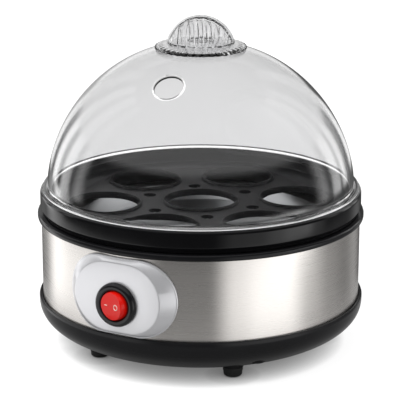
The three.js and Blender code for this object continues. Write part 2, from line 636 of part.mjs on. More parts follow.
function eggTray() {
  const { radius, bottom, top, wall } = tray;
  const { top: floor, thickness, skirt, skirtWall, skirtLow } = deck;
  const under = floor - thickness;
  const skirtInner = skirt - skirtWall;
  const pan = revolve([
    [0, under], [skirtInner, under], [skirtInner, skirtLow], [skirt, skirtLow], [skirt, bottom],
    [radius - 1.7, bottom], [radius - 1.1, bottom + 1.5], [radius, bottom + 3.2], [radius, top - 1.5],
    [radius - 0.35, top - 0.5], [radius - 1.1, top], [wall, top], [wall - 0.6, floor + 1.2], [wall - 1.8, floor], [0, floor],
  ]);
  const crest = floor + seat.rise;
  const rimOuter = seat.radius + seat.rim;
  const rim = revolve([
    [seat.radius - 0.5, under], [rimOuter + 0.6, under], [rimOuter, crest - 0.4], [rimOuter - 0.5, crest],
    [seat.radius - 0.5, crest],
  ], 16);
  const bore = revolve([
    [0, under - 4], [seat.radius, under - 4], [seat.radius, floor], [seat.radius + 1, crest + 1], [0, crest + 1],
  ], 16);
  const add = seatPlaces().map(({ x, y }) => rim.clone().translate(x, y, 0));
  const cut = seatPlaces().map(({ x, y }) => bore.clone().translate(x, y, 0));
  for (let i = 0; i < seat.count; i++) {
    const { x, y } = polar((360 / seat.count) * (i + 0.5), seat.steamCircle);
    cut.push(post(seat.steamRadius, under - 4, floor + 4, 8).translate(x, y, 0));
  }
  return shaped(pan, { add, cut });
}

// Lid: the clear dome with its steam hole, and the fluted grip on top
function domeCurve(outset, steps) {
  const { radius, height, spring, flat, rise } = dome;
  const curve = quarterTurn(steps).map((t) => [
    (radius + outset) * Math.cos(t) ** (2 / flat),
    spring + (height + outset) * Math.sin(t) ** (2 / rise),
  ]);
  curve.at(-1)[0] = 0;
  return curve;
}

function steamHole() {
  const { radius, distance, height, lean, azimuth } = vent;
  const drill = post(radius, -10, 10, 28).rotateX(radians(lean));
  return aroundAxis(drill, azimuth, distance).translate(0, 0, height);
}

function knobLegs(shape) {
  return [-1, 1].map((side) => shape.clone().translate((side * knobLeg.spacing) / 2, 0, 0));
}

function lidDome() {
  const { radius, wall } = dome;
  const { radius: flange, thickness, skirtLow } = lidFlange;
  const onTray = tray.top + gap;
  const flangeTop = onTray + thickness;
  const outer = domeCurve(0, 9);
  const inner = domeCurve(-wall, 7);
  const shell = revolve([
    ...inner.slice(1).reverse(), [radius - wall, skirtLow], [radius, skirtLow], [radius, onTray],
    [flange, onTray], [flange, flangeTop - 0.5], [flange - 0.5, flangeTop], [radius + 0.5, flangeTop],
    ...outer.slice(1),
  ]);
  return shaped(shell, { cut: [steamHole(), ...knobLegs(post(knobLeg.hole, 150, 170))] });
}

// The grip's half depth at a place on its broad side: upright flutes inside a plain border.
function flutedDepth(x, z) {
  const { halfWidth, halfDepth, border, rim } = knob;
  const reach = Math.hypot(x, z) / (halfWidth - border);
  if (reach >= 1) return rim;
  const grooved = 1 - Math.abs(Math.sin((Math.PI * x) / flute.pitch));
  return rim + (halfDepth - rim) * Math.sqrt(1 - reach ** 2) - flute.depth * grooved;
}

function hollowDepth(x, z) {
  const reach = Math.min(1, Math.hypot(x, z) / (knob.halfWidth - knob.wall));
  const [rim, halfDepth] = [knob.rim - knob.wall / 2, knob.halfDepth - knob.wall];
  return rim + (halfDepth - rim) * Math.sqrt(1 - reach ** 2);
}

function grip(radius, depthAt, columns, rows) {
  const low = -3; // below the knob's base, inside the dome, so that it can be cut to the dome's curve
  const rings = [];
  for (let i = 0; i <= columns; i++) {
    const x = radius * 0.985 * (-1 + (2 * i) / columns);
    const high = Math.sqrt(radius ** 2 - x ** 2);
    const front = Array.from({ length: rows + 1 }, (_, j) => {
      const z = low + (high - low) * Math.sin((j / rows) * (Math.PI / 2));
      return new THREE.Vector3(x, -depthAt(x, Math.max(z, 0)), knob.base + z);
    });
    const back = front.map((point) => new THREE.Vector3(point.x, -point.y, point.z)).reverse();
    rings.push([...front, ...back]);
  }
  return loft(rings);
}

function domeSolid(outset) {
  return revolve([[0, dome.spring], ...domeCurve(outset, 18)], 24);
}

function lidKnob() {
  const { radius: footRadius, thickness, opening } = knobFoot;
  const footTop = domeSolid(gap + thickness);
  const pad = shaped(post(footRadius, 150, 170, 36), { within: [footTop] });
  const hollow = shaped(grip(knob.halfWidth - knob.wall, hollowDepth, 10, 5), { cut: [footTop] });
  const mouldOpening = post(opening, 150, 166, 16);
  const body = shaped(grip(knob.halfWidth, flutedDepth, 32, 6), {
    add: [pad],
    cut: [hollow, mouldOpening, domeSolid(gap)],
  });
  const { head, low, headTop, radius, top } = knobLeg;
  const leg = revolve([[0, low], [head, low], [head, headTop], [radius, headTop], [radius, top], [0, top]], 12);
  return shaped(body, { add: knobLegs(leg) });
}

function addTrayAndLid() {
  place('egg_tray', eggTray(), blackPlastic).rotation.z = radians(tray.turn);
  const lid = new THREE.Group();
  lid.rotation.z = radians(lidTurn);
  boiler.add(lid);
  place('lid_dome', lidDome(), clearPlastic, lid);
  place('lid_knob', lidKnob(), clearPlastic, lid);
}

addBase();
addBody();
addHeating();
addSwitch();
addInlet();
addLeads();
addTrayAndLid();
console.log(`least gap between the contact spring's turns: ${leastCoilGap().toFixed(2)} mm`);

export default boiler;
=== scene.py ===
"""Models and finishes a seven-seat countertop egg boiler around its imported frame, in metres."""

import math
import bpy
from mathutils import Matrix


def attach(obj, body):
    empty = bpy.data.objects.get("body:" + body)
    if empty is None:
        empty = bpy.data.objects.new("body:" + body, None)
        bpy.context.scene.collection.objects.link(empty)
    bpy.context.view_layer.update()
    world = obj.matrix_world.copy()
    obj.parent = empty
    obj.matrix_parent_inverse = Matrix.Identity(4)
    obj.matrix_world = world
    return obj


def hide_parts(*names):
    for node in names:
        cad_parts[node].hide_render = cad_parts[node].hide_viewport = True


bl_info = {
    "name": "Egg Boiler",
    "version": (1, 0, 0),
    "blender": (4, 5, 0),
    "location": "3D View > Sidebar > Egg Boiler",
    "description": "Models the shells, lid, switch and tray of an egg boiler and gives them their finishes",
    "category": "Object",
}

from types import SimpleNamespace

import bpy
from mathutils import Matrix, Vector

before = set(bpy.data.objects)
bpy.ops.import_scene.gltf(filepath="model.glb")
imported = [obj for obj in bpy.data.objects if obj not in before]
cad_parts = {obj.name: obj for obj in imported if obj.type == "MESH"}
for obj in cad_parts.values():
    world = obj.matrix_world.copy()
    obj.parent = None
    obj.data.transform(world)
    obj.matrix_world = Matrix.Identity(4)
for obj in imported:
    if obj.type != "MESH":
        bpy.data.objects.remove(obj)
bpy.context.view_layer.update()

MM = 0.001
ROUND = 192  # sides of the large turned shells
FINE = 64  # sides of small turned pieces
MERGE = 2e-6  # metres; vertices nearer than this become one
DOME_POWERS = (2.11, 1.84)  # of the dome's curve, across and up, where 2 and 2 would be an ellipse

# What more than one piece or finish needs: azimuths, turns and tilts in degrees, the rest in millimetres.
FOOT_AZIMUTHS = (-31, 44, 116, 187, 258)
GLAND_HEIGHT = 36
LID_TURN = 20.5
VENT_AZIMUTH = -12.7  # of the steam hole, before the lid is turned
VENT_DISTANCE = 46.3
VENT_HEIGHT = 148.7
VENT_TILT = 34


def length(name, description, size):
    return bpy.props.FloatProperty(
        name=name, description=description, default=size * MM, min=0, unit="LENGTH", precision=5
    )


def colour(name, description, rgb):
    return bpy.props.FloatVectorProperty(
        name=name, description=description, default=rgb, size=3, min=0, max=1, subtype="COLOR"
    )


def angle(name, description, degrees):
    return bpy.props.FloatProperty(
        name=name, description=description, default=math.radians(degrees), subtype="ANGLE"
    )


class EggBoilerSizes(bpy.types.PropertyGroup):
    """The sizes that shape the boiler's shells"""

    gap: length("Gap", "Left between pieces that touch", 0.3)
    bowl_radius: length("Bowl radius", "Outside radius of the bowl's rim", 87.2)
    bowl_flat: length("Bowl flat", "Radius of the bowl's flat underside", 46)
    bowl_bottom: length("Bowl bottom", "Height of the bowl's underside", 5)
    bowl_shoulder: length("Bowl shoulder", "Height where the bowl's curve ends", 25)
    bowl_rim: length("Bowl rim", "Height of the bowl's rim", 27)
    bowl_ledge: length("Bowl ledge", "Height of the ledge that carries the band", 23.5)
    bowl_wall: length("Bowl wall", "Thickness of the bowl's wall", 2.2)
    foot_circle: length("Foot circle", "Distance of the feet from the axis", 62)
    foot_radius: length("Foot radius", "Radius of a foot", 5.2)
    band_radius: length("Band radius", "Outside radius of the steel band", 85.2)
    band_wall: length("Band wall", "Thickness of the steel band", 0.7)
    band_top: length("Band top", "Height of the band's upper edge", 70.9)
    lip_radius: length("Lip radius", "Outside radius of the upper housing's lip", 87.2)
    lip_bottom: length("Lip bottom", "Height of the lip's lower edge", 69.7)
    lip_top: length("Lip top", "Height of the lip's upper edge", 72.7)
    plate_floor: length("Plate floor", "Height of the heating plate's dished floor", 58.8)
    tray_radius: length("Tray radius", "Outside radius of the tray's band", 85.7)
    tray_bottom: length("Tray bottom", "Height of the tray band's lower edge", 73.1)
    tray_top: length("Tray top", "Height of the tray band's upper edge", 84.5)
    deck: length("Deck", "Height of the tray's deck", 76)
    seat_circle: length("Seat circle", "Distance of the outer seats from the axis", 52)
    seat_radius: length("Seat radius", "Radius of a seat's opening", 18.5)
    dome_radius: length("Dome radius", "Outside radius of the dome where it springs", 81.8)
    dome_spring: length("Dome spring", "Height where the dome's curve starts", 85.5)
    dome_height: length("Dome height", "Height of the dome above its spring", 76.7)
    dome_wall: length("Dome wall", "Thickness of the dome", 2)
    flange_radius: length("Flange radius", "Outside radius of the lid's flange", 84.4)
    flange_thickness: length("Flange thickness", "Thickness of the lid's flange", 1.2)
    vent_radius: length("Vent radius", "Radius of the steam hole", 7.5)
    knob_width: length("Knob half width", "Half of the grip's width", 18.2)
    knob_depth: length("Knob half depth", "Half of the grip's depth", 17.4)
    knob_base: length("Knob base", "Height of the centre of the grip's arc", 158.4)
    knob_foot: length("Knob foot", "Radius of the grip's round foot", 24.2)
    panel_width: length("Panel half width", "Half of the switch panel's width", 31.2)
    panel_height: length("Panel half height", "Half of the switch panel's height", 20.6)
    panel_middle: length("Panel middle", "Height of the middle of the switch panel", 47.9)
    panel_face: length("Panel face", "Distance of the panel's flat face from the axis", 88.3)
    switch_height: length("Switch height", "Height of the middle of the rocker switch", 44.5)
    bezel_radius: length("Bezel radius", "Radius of the switch's bezel", 11.5)
    bezel_mouth: length("Bezel mouth", "Radius of the bezel's opening", 7.8)
    bezel_crest: length("Bezel crest", "Distance of the bezel's crest from the axis", 91.8)
    rocker_pivot: length("Rocker pivot", "Distance of the rocker's pivot from the axis", 90.2)
    panel_face_width: length("Face half width", "Half of the flat face's width", 24.3)
    panel_face_height: length("Face half height", "Half of the flat face's height", 18)
    rocker_tilt: angle("Rocker tilt", "How far the rocker is tipped", 14)
    lid_turn: angle("Lid turn", "Angle from the switch to the grip's broad side", LID_TURN)


class EggBoilerColours(bpy.types.PropertyGroup):
    """The colours of the boiler's finishes"""

    black: colour("Black", "Moulded black plastic", (0.008, 0.008, 0.009))
    rubber: colour("Rubber", "Feet and gland", (0.014, 0.014, 0.014))
    steel: colour("Steel", "Brushed band", (0.64, 0.615, 0.59))
    silver: colour("Silver", "Lacquered switch panel", (0.7, 0.7, 0.72))
    red: colour("Red", "Rocker", (0.64, 0.006, 0.003))
    mark: colour("Marks", "I and O marks on the rocker", (0.9, 0.62, 0.55))
    clear: colour("Clear", "Lid", (0.955, 0.955, 0.96))
    aluminium: colour("Aluminium", "Heating plate", (0.62, 0.63, 0.64))
    zinc: colour("Zinc", "Screws and sheet parts", (0.5, 0.51, 0.53))
    brass: colour("Brass", "Contacts", (0.66, 0.45, 0.16))
    nylon: colour("Nylon", "Inner mouldings", (0.8, 0.78, 0.7))


def millimetres(context):
    """The sizes in millimetres, by name."""
    sizes = context.scene.egg_boiler_sizes
    found = {}
    for key in EggBoilerSizes.__annotations__:
        value = getattr(sizes, key)
        found[key] = value if key in ("lid_turn", "rocker_tilt") else round(value / MM, 4)
    return SimpleNamespace(**found)


# Modelling


def pick(piece):
    """Makes a piece the only selected one."""
    bpy.ops.object.select_all(action="DESELECT")
    piece.select_set(True)
    bpy.context.view_layer.objects.active = piece


def new_primitive(add, name, **settings):
    """Adds a primitive under a name and puts its place in its mesh."""
    bpy.ops.object.select_all(action="DESELECT")
    add(**settings)
    piece = bpy.context.active_object
    piece.name = piece.data.name = name
    bpy.ops.object.transform_apply(location=True, rotation=True, scale=True)
    return piece


def select_vertices(piece, test):
    """In edit mode, selects the vertices that pass a test, and what lies between them."""
    bpy.ops.mesh.select_mode(type="VERT")
    bpy.ops.mesh.select_all(action="DESELECT")
    bpy.ops.object.mode_set(mode="OBJECT")
    for vertex in piece.data.vertices:
        vertex.select = bool(test(vertex))
    bpy.ops.object.mode_set(mode="EDIT")


def end_edit():
    """Turns all faces outwards and leaves edit mode."""
    bpy.ops.mesh.select_all(action="SELECT")
    bpy.ops.mesh.normals_make_consistent(inside=False)
    bpy.ops.object.mode_set(mode="OBJECT")


def turned(name, outline, sides=ROUND, closed=True):
    """Turns an outline of [radius, height] in millimetres by extruding a circle ring by ring.

    A closed outline is a ring; an open one gets a flat cap at each end, or a pole where its radius is 0."""
    start_pole = outline[0][0] == 0
    end_pole = outline[-1][0] == 0
    rings = outline[int(start_pole) : len(outline) - int(end_pole)]
    radius, height = rings[0]
    circle = {"vertices": sides, "radius": radius * MM, "location": (0, 0, height * MM)}
    piece = new_primitive(bpy.ops.mesh.primitive_circle_add, name, **circle)
    bpy.ops.object.mode_set(mode="EDIT")
    bpy.ops.mesh.select_all(action="SELECT")
    for (r0, z0), (r1, z1) in zip(rings, rings[1:] + (rings[:1] if closed else [])):
        bpy.ops.mesh.extrude_edges_move(TRANSFORM_OT_translate={"value": (0, 0, (z1 - z0) * MM)})
        share = r1 / r0
        bpy.ops.transform.resize(value=(share, share, 1), center_override=(0, 0, z1 * MM))
    if not closed:
        close_end(piece, outline[-1] if end_pole else None, rings[-1])
        select_ring(piece, rings[0])
        close_end(piece, outline[0] if start_pole else None, rings[0])
    bpy.ops.mesh.select_all(action="SELECT")
    bpy.ops.mesh.remove_doubles(threshold=MERGE)
    end_edit()
    return piece


def select_ring(piece, ring):
    """In edit mode, selects the vertices of one ring of a turned piece."""
    radius, height = ring

    def on_ring(vertex):
        place = vertex.co / MM
        off = abs(math.hypot(place.x, place.y) - radius)
        return max(off, abs(place.z - height)) < MERGE / MM

    select_vertices(piece, on_ring)


def close_end(piece, pole, ring):
    """Closes the selected ring with a flat face, or with a fan of faces to a pole."""
    if pole is None:
        bpy.ops.mesh.edge_face_add()
        return
    bpy.ops.mesh.extrude_edges_move(TRANSFORM_OT_translate={"value": (0, 0, (pole[1] - ring[1]) * MM)})
    bpy.ops.mesh.merge(type="COLLAPSE")


def rod(name, radius, low, high, sides=FINE):
    """An upright rod about Z, in millimetres."""
    middle = (0, 0, (low + high) / 2 * MM)
    size = {"vertices": sides, "radius": radius * MM, "depth": (high - low) * MM, "location": middle}
    return new_primitive(bpy.ops.mesh.primitive_cylinder_add, name, **size)


def moved(piece, x=0, y=0, z=0, turn=0, axis="Z"):
    """Turns a piece's mesh about an axis through the origin and then moves it, in millimetres."""
    piece.data.transform(Matrix.Translation(Vector((x, y, z)) * MM) @ Matrix.Rotation(turn, 4, axis))
    piece.data.update()
    return piece


def polar(azimuth, radius):
    """A place at an azimuth in degrees from the front, -Y, towards +X."""
    turn = math.radians(azimuth)
    return radius * math.sin(turn), -radius * math.cos(turn)


def copied(piece, name):
    """A copy with a mesh of its own."""
    twin = piece.copy()
    twin.data = piece.data.copy()
    twin.name = twin.data.name = name
    bpy.context.scene.collection.objects.link(twin)
    return twin


def joined(pieces, name):
    """Joins pieces into the first of them."""
    bpy.ops.object.select_all(action="DESELECT")
    for piece in pieces:
        piece.select_set(True)
    bpy.context.view_layer.objects.active = pieces[0]
    bpy.ops.object.join()
    pieces[0].name = pieces[0].data.name = name
    return pieces[0]


def carved(piece, tool, operation="DIFFERENCE"):
    """Applies a boolean with another mesh, which is used up."""
    pick(piece)
    bpy.ops.object.modifier_add(type="BOOLEAN")
    modifier = piece.modifiers[-1]
    modifier.operation = operation
    modifier.solver = "EXACT"
    modifier.object = tool
    bpy.ops.object.modifier_apply(modifier=modifier.name)
    bpy.data.objects.remove(tool)
    return piece


def bevelled(piece, width, segments=2, limit=30):
    """Rounds the edges that are sharper than a limit in degrees, by a width in millimetres."""
    pick(piece)
    bpy.ops.object.modifier_add(type="BEVEL")
    modifier = piece.modifiers[-1]
    modifier.width = width * MM
    modifier.segments = segments
    modifier.limit_method = "ANGLE"
    modifier.angle_limit = math.radians(limit)
    modifier.use_clamp_overlap = True
    bpy.ops.object.modifier_apply(modifier=modifier.name)
    return piece


def finished(piece, body, material, replaces=(), smooth=30):
    """Shades a piece, gives it its material and ties it to the frame."""
    pick(piece)
    bpy.ops.object.transform_apply(location=True, rotation=True, scale=True)
    bpy.ops.object.shade_smooth_by_angle(angle=math.radians(smooth))
    piece.data.materials.clear()
    piece.data.materials.append(material)
    if replaces:
        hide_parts(*replaces)
    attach(piece, body)


def quarter_turn(steps):
    """Angles that divide a quarter turn."""
    return [i / steps * math.pi / 2 for i in range(steps + 1)]


def ring_turns(count):
    """Angles that divide a full turn, half a step off its start."""
    return [2 * math.pi * (i + 0.5) / count for i in range(count)]


# Materials


class Value:
    """A shader socket that takes part in Python expressions."""

    def __init__(self, finish, socket):
        self.finish = finish
        self.socket = socket

    def math(self, operation, *operands):
        return self.finish.node("ShaderNodeMath", {"operation": operation}, dict(enumerate(operands)))

    def __add__(self, other):
        return self.math("ADD", self, other)

    __radd__ = __add__

    def __sub__(self, other):
        return self.math("SUBTRACT", self, other)

    def __rsub__(self, other):
        return self.math("SUBTRACT", other, self)

    def __mul__(self, other):
        return self.math("MULTIPLY", self, other)

    __rmul__ = __mul__

    def __truediv__(self, other):
        return self.math("DIVIDE", self, other)

    def __pow__(self, other):
        return self.math("POWER", self, other)


class Finish:
    """A node tree under construction."""

    def __init__(self, name, **sockets):
        self.material = bpy.data.materials.new(name)
        self.material.use_nodes = True
        self.tree = self.material.node_tree
        self.shader = self.tree.nodes["Principled BSDF"]
        self.shade(**sockets)

    def set(self, node, key, value):
        """Sets or links one socket of a node."""
        socket = node.inputs[key]
        if isinstance(value, Value):
            self.tree.links.new(value.socket, socket)
        elif isinstance(value, (tuple, list)) and len(value) == 3 and len(socket.default_value) == 4:
            socket.default_value = (*value, 1)
        else:
            socket.default_value = value

    def node(self, kind, settings=None, inputs=None, output=0):
        """Adds a node: its settings first, then the values or links of its sockets. Returns one output."""
        made = self.tree.nodes.new(kind)
        for key, value in (settings or {}).items():
            if key == "stops":
                self.set_stops(made.color_ramp, value)
            else:
                setattr(made, key, value)
        for key, value in (inputs or {}).items():
            self.set(made, key, value)
        return Value(self, made.outputs[output])

    def set_stops(self, ramp, stops):
        ramp.interpolation = "EASE"
        while len(ramp.elements) < len(stops):
            ramp.elements.new(1)
        for element, (position, grey) in zip(ramp.elements, stops):
            element.position = position
            element.color = (grey, grey, grey, 1)

    def place(self, scale=(1, 1, 1)):
        """Object coordinates in metres, stretched."""
        point = self.node("ShaderNodeTexCoord", output="Object")
        return self.node("ShaderNodeMapping", None, {"Vector": point, "Scale": scale})

    def coordinate(self, axis):
        """The place along X, Y or Z, in metres."""
        return self.node("ShaderNodeSeparateXYZ", None, {0: self.place()}, axis)

    def vector(self, operation, *operands, output=0):
        return self.node("ShaderNodeVectorMath", {"operation": operation}, dict(enumerate(operands)), output)

    def noise(self, scale, detail=3, stretch=(1, 1, 1), roughness=0.55):
        inputs = {"Vector": self.place(stretch), "Scale": scale, "Detail": detail, "Roughness": roughness}
        return self.node("ShaderNodeTexNoise", None, inputs)

    def step_out(self, start, end):
        """Rises smoothly from 0 to 1 between two distances from the upright axis, in metres."""
        away = self.vector("LENGTH", self.place((1, 1, 0)), output="Value")
        return self.step(away, start, end)

    def step(self, value, start, end, most=1):
        """Rises smoothly from 0 to a most while a value goes from a start to an end."""
        limits = {0: value, 1: start, 2: end, 3: 0, 4: most}
        return self.node("ShaderNodeMapRange", {"interpolation_type": "SMOOTHSTEP"}, limits)

    def mix(self, factor, first, second):
        """Mixes two colours."""
        settings = {"data_type": "RGBA"}
        return self.node("ShaderNodeMix", settings, {0: factor, 6: first, 7: second}, output=2)

    def tints(self, factor, rgb, darker, lighter):
        """Mixes a darker and a lighter tint of one colour."""
        return self.mix(factor, tinted(rgb, darker), tinted(rgb, lighter))

    def bump(self, height, strength, distance):
        inputs = {"Height": height, "Strength": strength, "Distance": distance}
        self.set(self.shader, "Normal", self.node("ShaderNodeBump", None, inputs))

    def cover(self, shown, other):
        """Shows the main shader where a factor is 1 and another one where it is 0."""
        surface = Value(self, self.shader.outputs[0])
        mixed = self.node("ShaderNodeMixShader", None, {0: shown, 1: other, 2: surface})
        self.tree.links.new(mixed.socket, self.tree.nodes["Material Output"].inputs["Surface"])

    def shade(self, **sockets):
        """Sets or links sockets of the main shader, such as base_color."""
        for key, value in sockets.items():
            self.set(self.shader, key.replace("_", " ").title().replace("Ior", "IOR"), value)


def tinted(rgb, factor):
    """A colour made darker or lighter, which stays within 1."""
    return tuple(min(1, channel * factor) for channel in rgb)


def finishes(context):
    """All the finishes by name, made once."""
    colours = context.scene.egg_boiler_colours
    made = {}
    for name, maker in FINISHES.items():
        label = f"{name}_finish"
        made[name] = bpy.data.materials.get(label) or maker(colours, label)
    return SimpleNamespace(**made)


def black_plastic(colours, name):
    finish = Finish(name, specular_ior_level=0.18, ior=1.5)
    drift = finish.noise(45, 4)
    finish.shade(base_color=finish.tints(drift, colours.black, 0.8, 1.25), roughness=0.13 + 0.1 * drift)
    finish.bump(finish.noise(2600, 2), 0.03, 0.0004)
    return finish.material


def gloss_black(colours, name):
    finish = Finish(name, specular_ior_level=0.35)
    drift = finish.noise(120, 4)
    finish.shade(base_color=finish.tints(drift, colours.black, 0.8, 1.2), roughness=0.07 + 0.05 * drift)
    finish.bump(finish.noise(2200, 2), 0.02, 0.0003)
    return finish.material


def deck_plastic(colours, name):
    """The tray's plastic, matt on the deck and polished on the outside of the band."""
    finish = Finish(name, specular_ior_level=0.22)
    drift = finish.noise(45, 4)
    polished = finish.step_out(0.0842, 0.0848)
    roughness = 0.3 + 0.1 * drift - 0.22 * polished
    finish.shade(base_color=finish.tints(drift, colours.black, 0.4, 0.7), roughness=roughness)
    finish.bump(finish.noise(2200, 2), 0.01, 0.0004)
    return finish.material


def black_rubber(colours, name):
    finish = Finish(name, specular_ior_level=0.35)
    dust = finish.noise(220, 5)
    finish.shade(base_color=finish.tints(dust, colours.rubber, 0.8, 1.8), roughness=0.5 + 0.2 * dust)
    finish.bump(finish.noise(1800, 2), 0.1, 0.0005)
    return finish.material


def brushed_steel(colours, name):
    """Steel with fine lines that run round the band."""
    finish = Finish(name, metallic=1.0, anisotropic=0.75, anisotropic_rotation=0.25)
    streaks = finish.noise(1, 4, (24, 24, 2600), 0.7)
    broad = finish.noise(1, 2, (9, 9, 420))
    wear = 0.65 * streaks + 0.35 * broad
    finish.shade(base_color=finish.tints(wear, colours.steel, 0.9, 1.1), roughness=0.2 + 0.16 * wear)
    finish.bump(streaks, 0.045, 0.0004)
    return finish.material


def silver_lacquer(colours, name):
    finish = Finish(name, metallic=0.55, specular_ior_level=0.5)
    flakes = finish.noise(5200, 2)
    cloud = finish.noise(60, 3)
    tint = finish.tints(0.5 * flakes + 0.5 * cloud, colours.silver, 0.96, 1.04)
    finish.shade(base_color=tint, roughness=0.28 + 0.1 * flakes)
    finish.bump(flakes, 0.03, 0.0003)
    return finish.material


def red_plastic(colours, name):
    """Glossy plastic with a little painted glow, which stands in for light from the lamp behind it."""
    finish = Finish(name, specular_ior_level=0.18, coat_weight=0.2, coat_roughness=0.04)
    # Painted glow: a faint red emission.
    finish.shade(emission_color=(0.9, 0.01, 0.0), emission_strength=0.1)
    cloud = finish.noise(160, 3)
    finish.shade(base_color=finish.tints(cloud, colours.red, 0.85, 1.1), roughness=0.16 + 0.08 * cloud)
    finish.bump(finish.noise(900, 2), 0.03, 0.0003)
    return finish.material


def mark_paint(colours, name):
    finish = Finish(name, specular_ior_level=0.4)
    cloud = finish.noise(900, 3)
    finish.shade(base_color=finish.tints(cloud, colours.mark, 0.92, 1.05), roughness=0.35 + 0.1 * cloud)
    return finish.material


def clear_plastic(colours, name):
    """The dome's plastic, with a painted highlight that glows on the flange's rim and in the steam hole's
    chamfer.
    """
    finish = clear_moulding(colours, name, [(0.0, 0.0), (0.7, 0.03), (0.87, 0.3), (0.97, 0.8)])
    # Painted highlight: an emitted glow on the flange's outer rim, brighter on its lower part, and on the
    # steam hole's chamfer.
    rim = finish.step_out(0.0841, 0.0844)
    lower = 1 - finish.step(finish.coordinate("Z"), 0.0852, 0.0855)
    away = vent_distance(finish)
    chamfer = finish.step(away, 0.0076, 0.0079) * (1 - finish.step(away, 0.0083, 0.0085))
    painted_glow = rim * (0.15 + 0.85 * lower) + 0.7 * chamfer
    finish.shade(emission_color=finish.mix(painted_glow, (0, 0, 0), (1, 1, 1)), emission_strength=0.75)
    return finish.material


def vent_distance(finish):
    """The distance from the steam hole's axis in the turned lid, in metres."""
    azimuth, tilt = LID_TURN + VENT_AZIMUTH, math.radians(VENT_TILT)
    centre = (*polar(azimuth, VENT_DISTANCE * MM), VENT_HEIGHT * MM)
    axis = (*polar(azimuth, math.sin(tilt)), math.cos(tilt))
    apart = finish.vector("CROSS_PRODUCT", finish.vector("SUBTRACT", finish.place(), centre), axis)
    return finish.vector("LENGTH", apart, output="Value")


def fluted_plastic(colours, name):
    """The grip's clear plastic, whose flutes show as grey lines, darkened by painted shade where they are
    seen edge on.
    """
    return clear_moulding(colours, name, [(0.0, 0.0), (0.45, 0.02), (0.76, 0.07), (0.9, 1.0)]).material


def clear_moulding(colours, name, edge_shade_stops):
    """Clear moulded plastic, with painted shade that greys it where it is seen edge on."""
    finish = Finish(name, ior=1.49, transmission_weight=1.0, specular_ior_level=0.5)
    haze = finish.noise(38, 4)
    # Painted shade: the colour darkens towards a dark grey where the surface is seen edge on, which draws
    # dark outlines.
    edge_on = finish.node("ShaderNodeLayerWeight", None, {"Blend": 0.5}, output="Facing")
    depth = finish.node("ShaderNodeValToRGB", {"stops": edge_shade_stops}, {0: edge_on})
    faced, edge = finish.tints(haze, colours.clear, 0.985, 1.01), tinted(colours.clear, 0.12)
    finish.shade(base_color=finish.mix(depth, faced, edge), roughness=0.01 + 0.02 * haze)
    finish.bump(finish.noise(24, 2), 0.02, 0.002)
    let_lamps_through(finish)
    return finish


def let_lamps_through(finish):
    """Lets lamp light cross the clear plastic, so that what it covers is lit."""
    shadow = finish.node("ShaderNodeLightPath", output="Is Shadow Ray")
    finish.cover(1 - shadow, finish.node("ShaderNodeBsdfTransparent", None, {"Color": (0.9, 0.9, 0.9)}))


def spun_aluminium(colours, name):
    """Aluminium with fine rings about the axis and a few stains."""
    finish = Finish(name, metallic=1.0, anisotropic=0.5)
    radius = finish.vector("LENGTH", finish.place(), output="Value")
    rings = finish.node("ShaderNodeTexNoise", {"noise_dimensions": "1D"}, {"W": radius * 1500, "Detail": 3})
    stain = finish.noise(30, 4)
    roughness = 0.26 + 0.14 * rings + 0.08 * stain
    finish.shade(base_color=finish.tints(stain, colours.aluminium, 0.85, 1.08), roughness=roughness)
    finish.bump(rings, 0.12, 0.0004)
    return finish.material


def plain_metal(attribute, roughness):
    def maker(colours, name):
        finish = Finish(name, metallic=1.0)
        cloud = finish.noise(300, 4)
        tint = finish.tints(cloud, getattr(colours, attribute), 0.85, 1.1)
        finish.shade(base_color=tint, roughness=roughness + 0.15 * cloud)
        finish.bump(finish.noise(1500, 2), 0.08, 0.0004)
        return finish.material

    return maker


def inner_plastic(rgb, roughness=0.45):
    """Plastic of a colour of its own, or of the nylon colour where none is given."""

    def maker(colours, name):
        finish = Finish(name, specular_ior_level=0.4)
        cloud = finish.noise(180, 3)
        tint = finish.tints(cloud, rgb or colours.nylon, 0.9, 1.06)
        finish.shade(base_color=tint, roughness=roughness + 0.1 * cloud)
        finish.bump(finish.noise(1200, 2), 0.05, 0.0004)
        return finish.material

    return maker


FINISHES = {
    "black_plastic": black_plastic,
    "gloss_black": gloss_black,
    "deck_plastic": deck_plastic,
    "black_rubber": black_rubber,
    "brushed_steel": brushed_steel,
    "silver_lacquer": silver_lacquer,
    "red_plastic": red_plastic,
    "mark_paint": mark_paint,
    "clear_plastic": clear_plastic,
    "fluted_plastic": fluted_plastic,
    "spun_aluminium": spun_aluminium,
    "zinc_plate": plain_metal("zinc", 0.3),
    "stamped_brass": plain_metal("brass", 0.3),
    "pale_nylon": inner_plastic(None),
    "pale_silicone": inner_plastic((0.68, 0.65, 0.6), 0.6),
    "lamp_glass": inner_plastic((0.95, 0.3, 0.1), 0.1),
    "brown_insulation": inner_plastic((0.2, 0.07, 0.03)),
    "grey_insulation": inner_plastic((0.04, 0.04, 0.04)),
    "blue_insulation": inner_plastic((0.03, 0.11, 0.34)),
    "green_insulation": inner_plastic((0.14, 0.32, 0.04)),
}


# Pieces


def curve_outline(steps, flat, radius, low, high, power):
    """The bowl's curve from its flat underside to its shoulder."""
    points = []
    for t in reversed(quarter_turn(steps)):
        across = flat + (radius - flat) * math.cos(t) ** (2 / power)
        points.append((across, high - (high - low) * math.sin(t) ** (2 / power)))
    return points


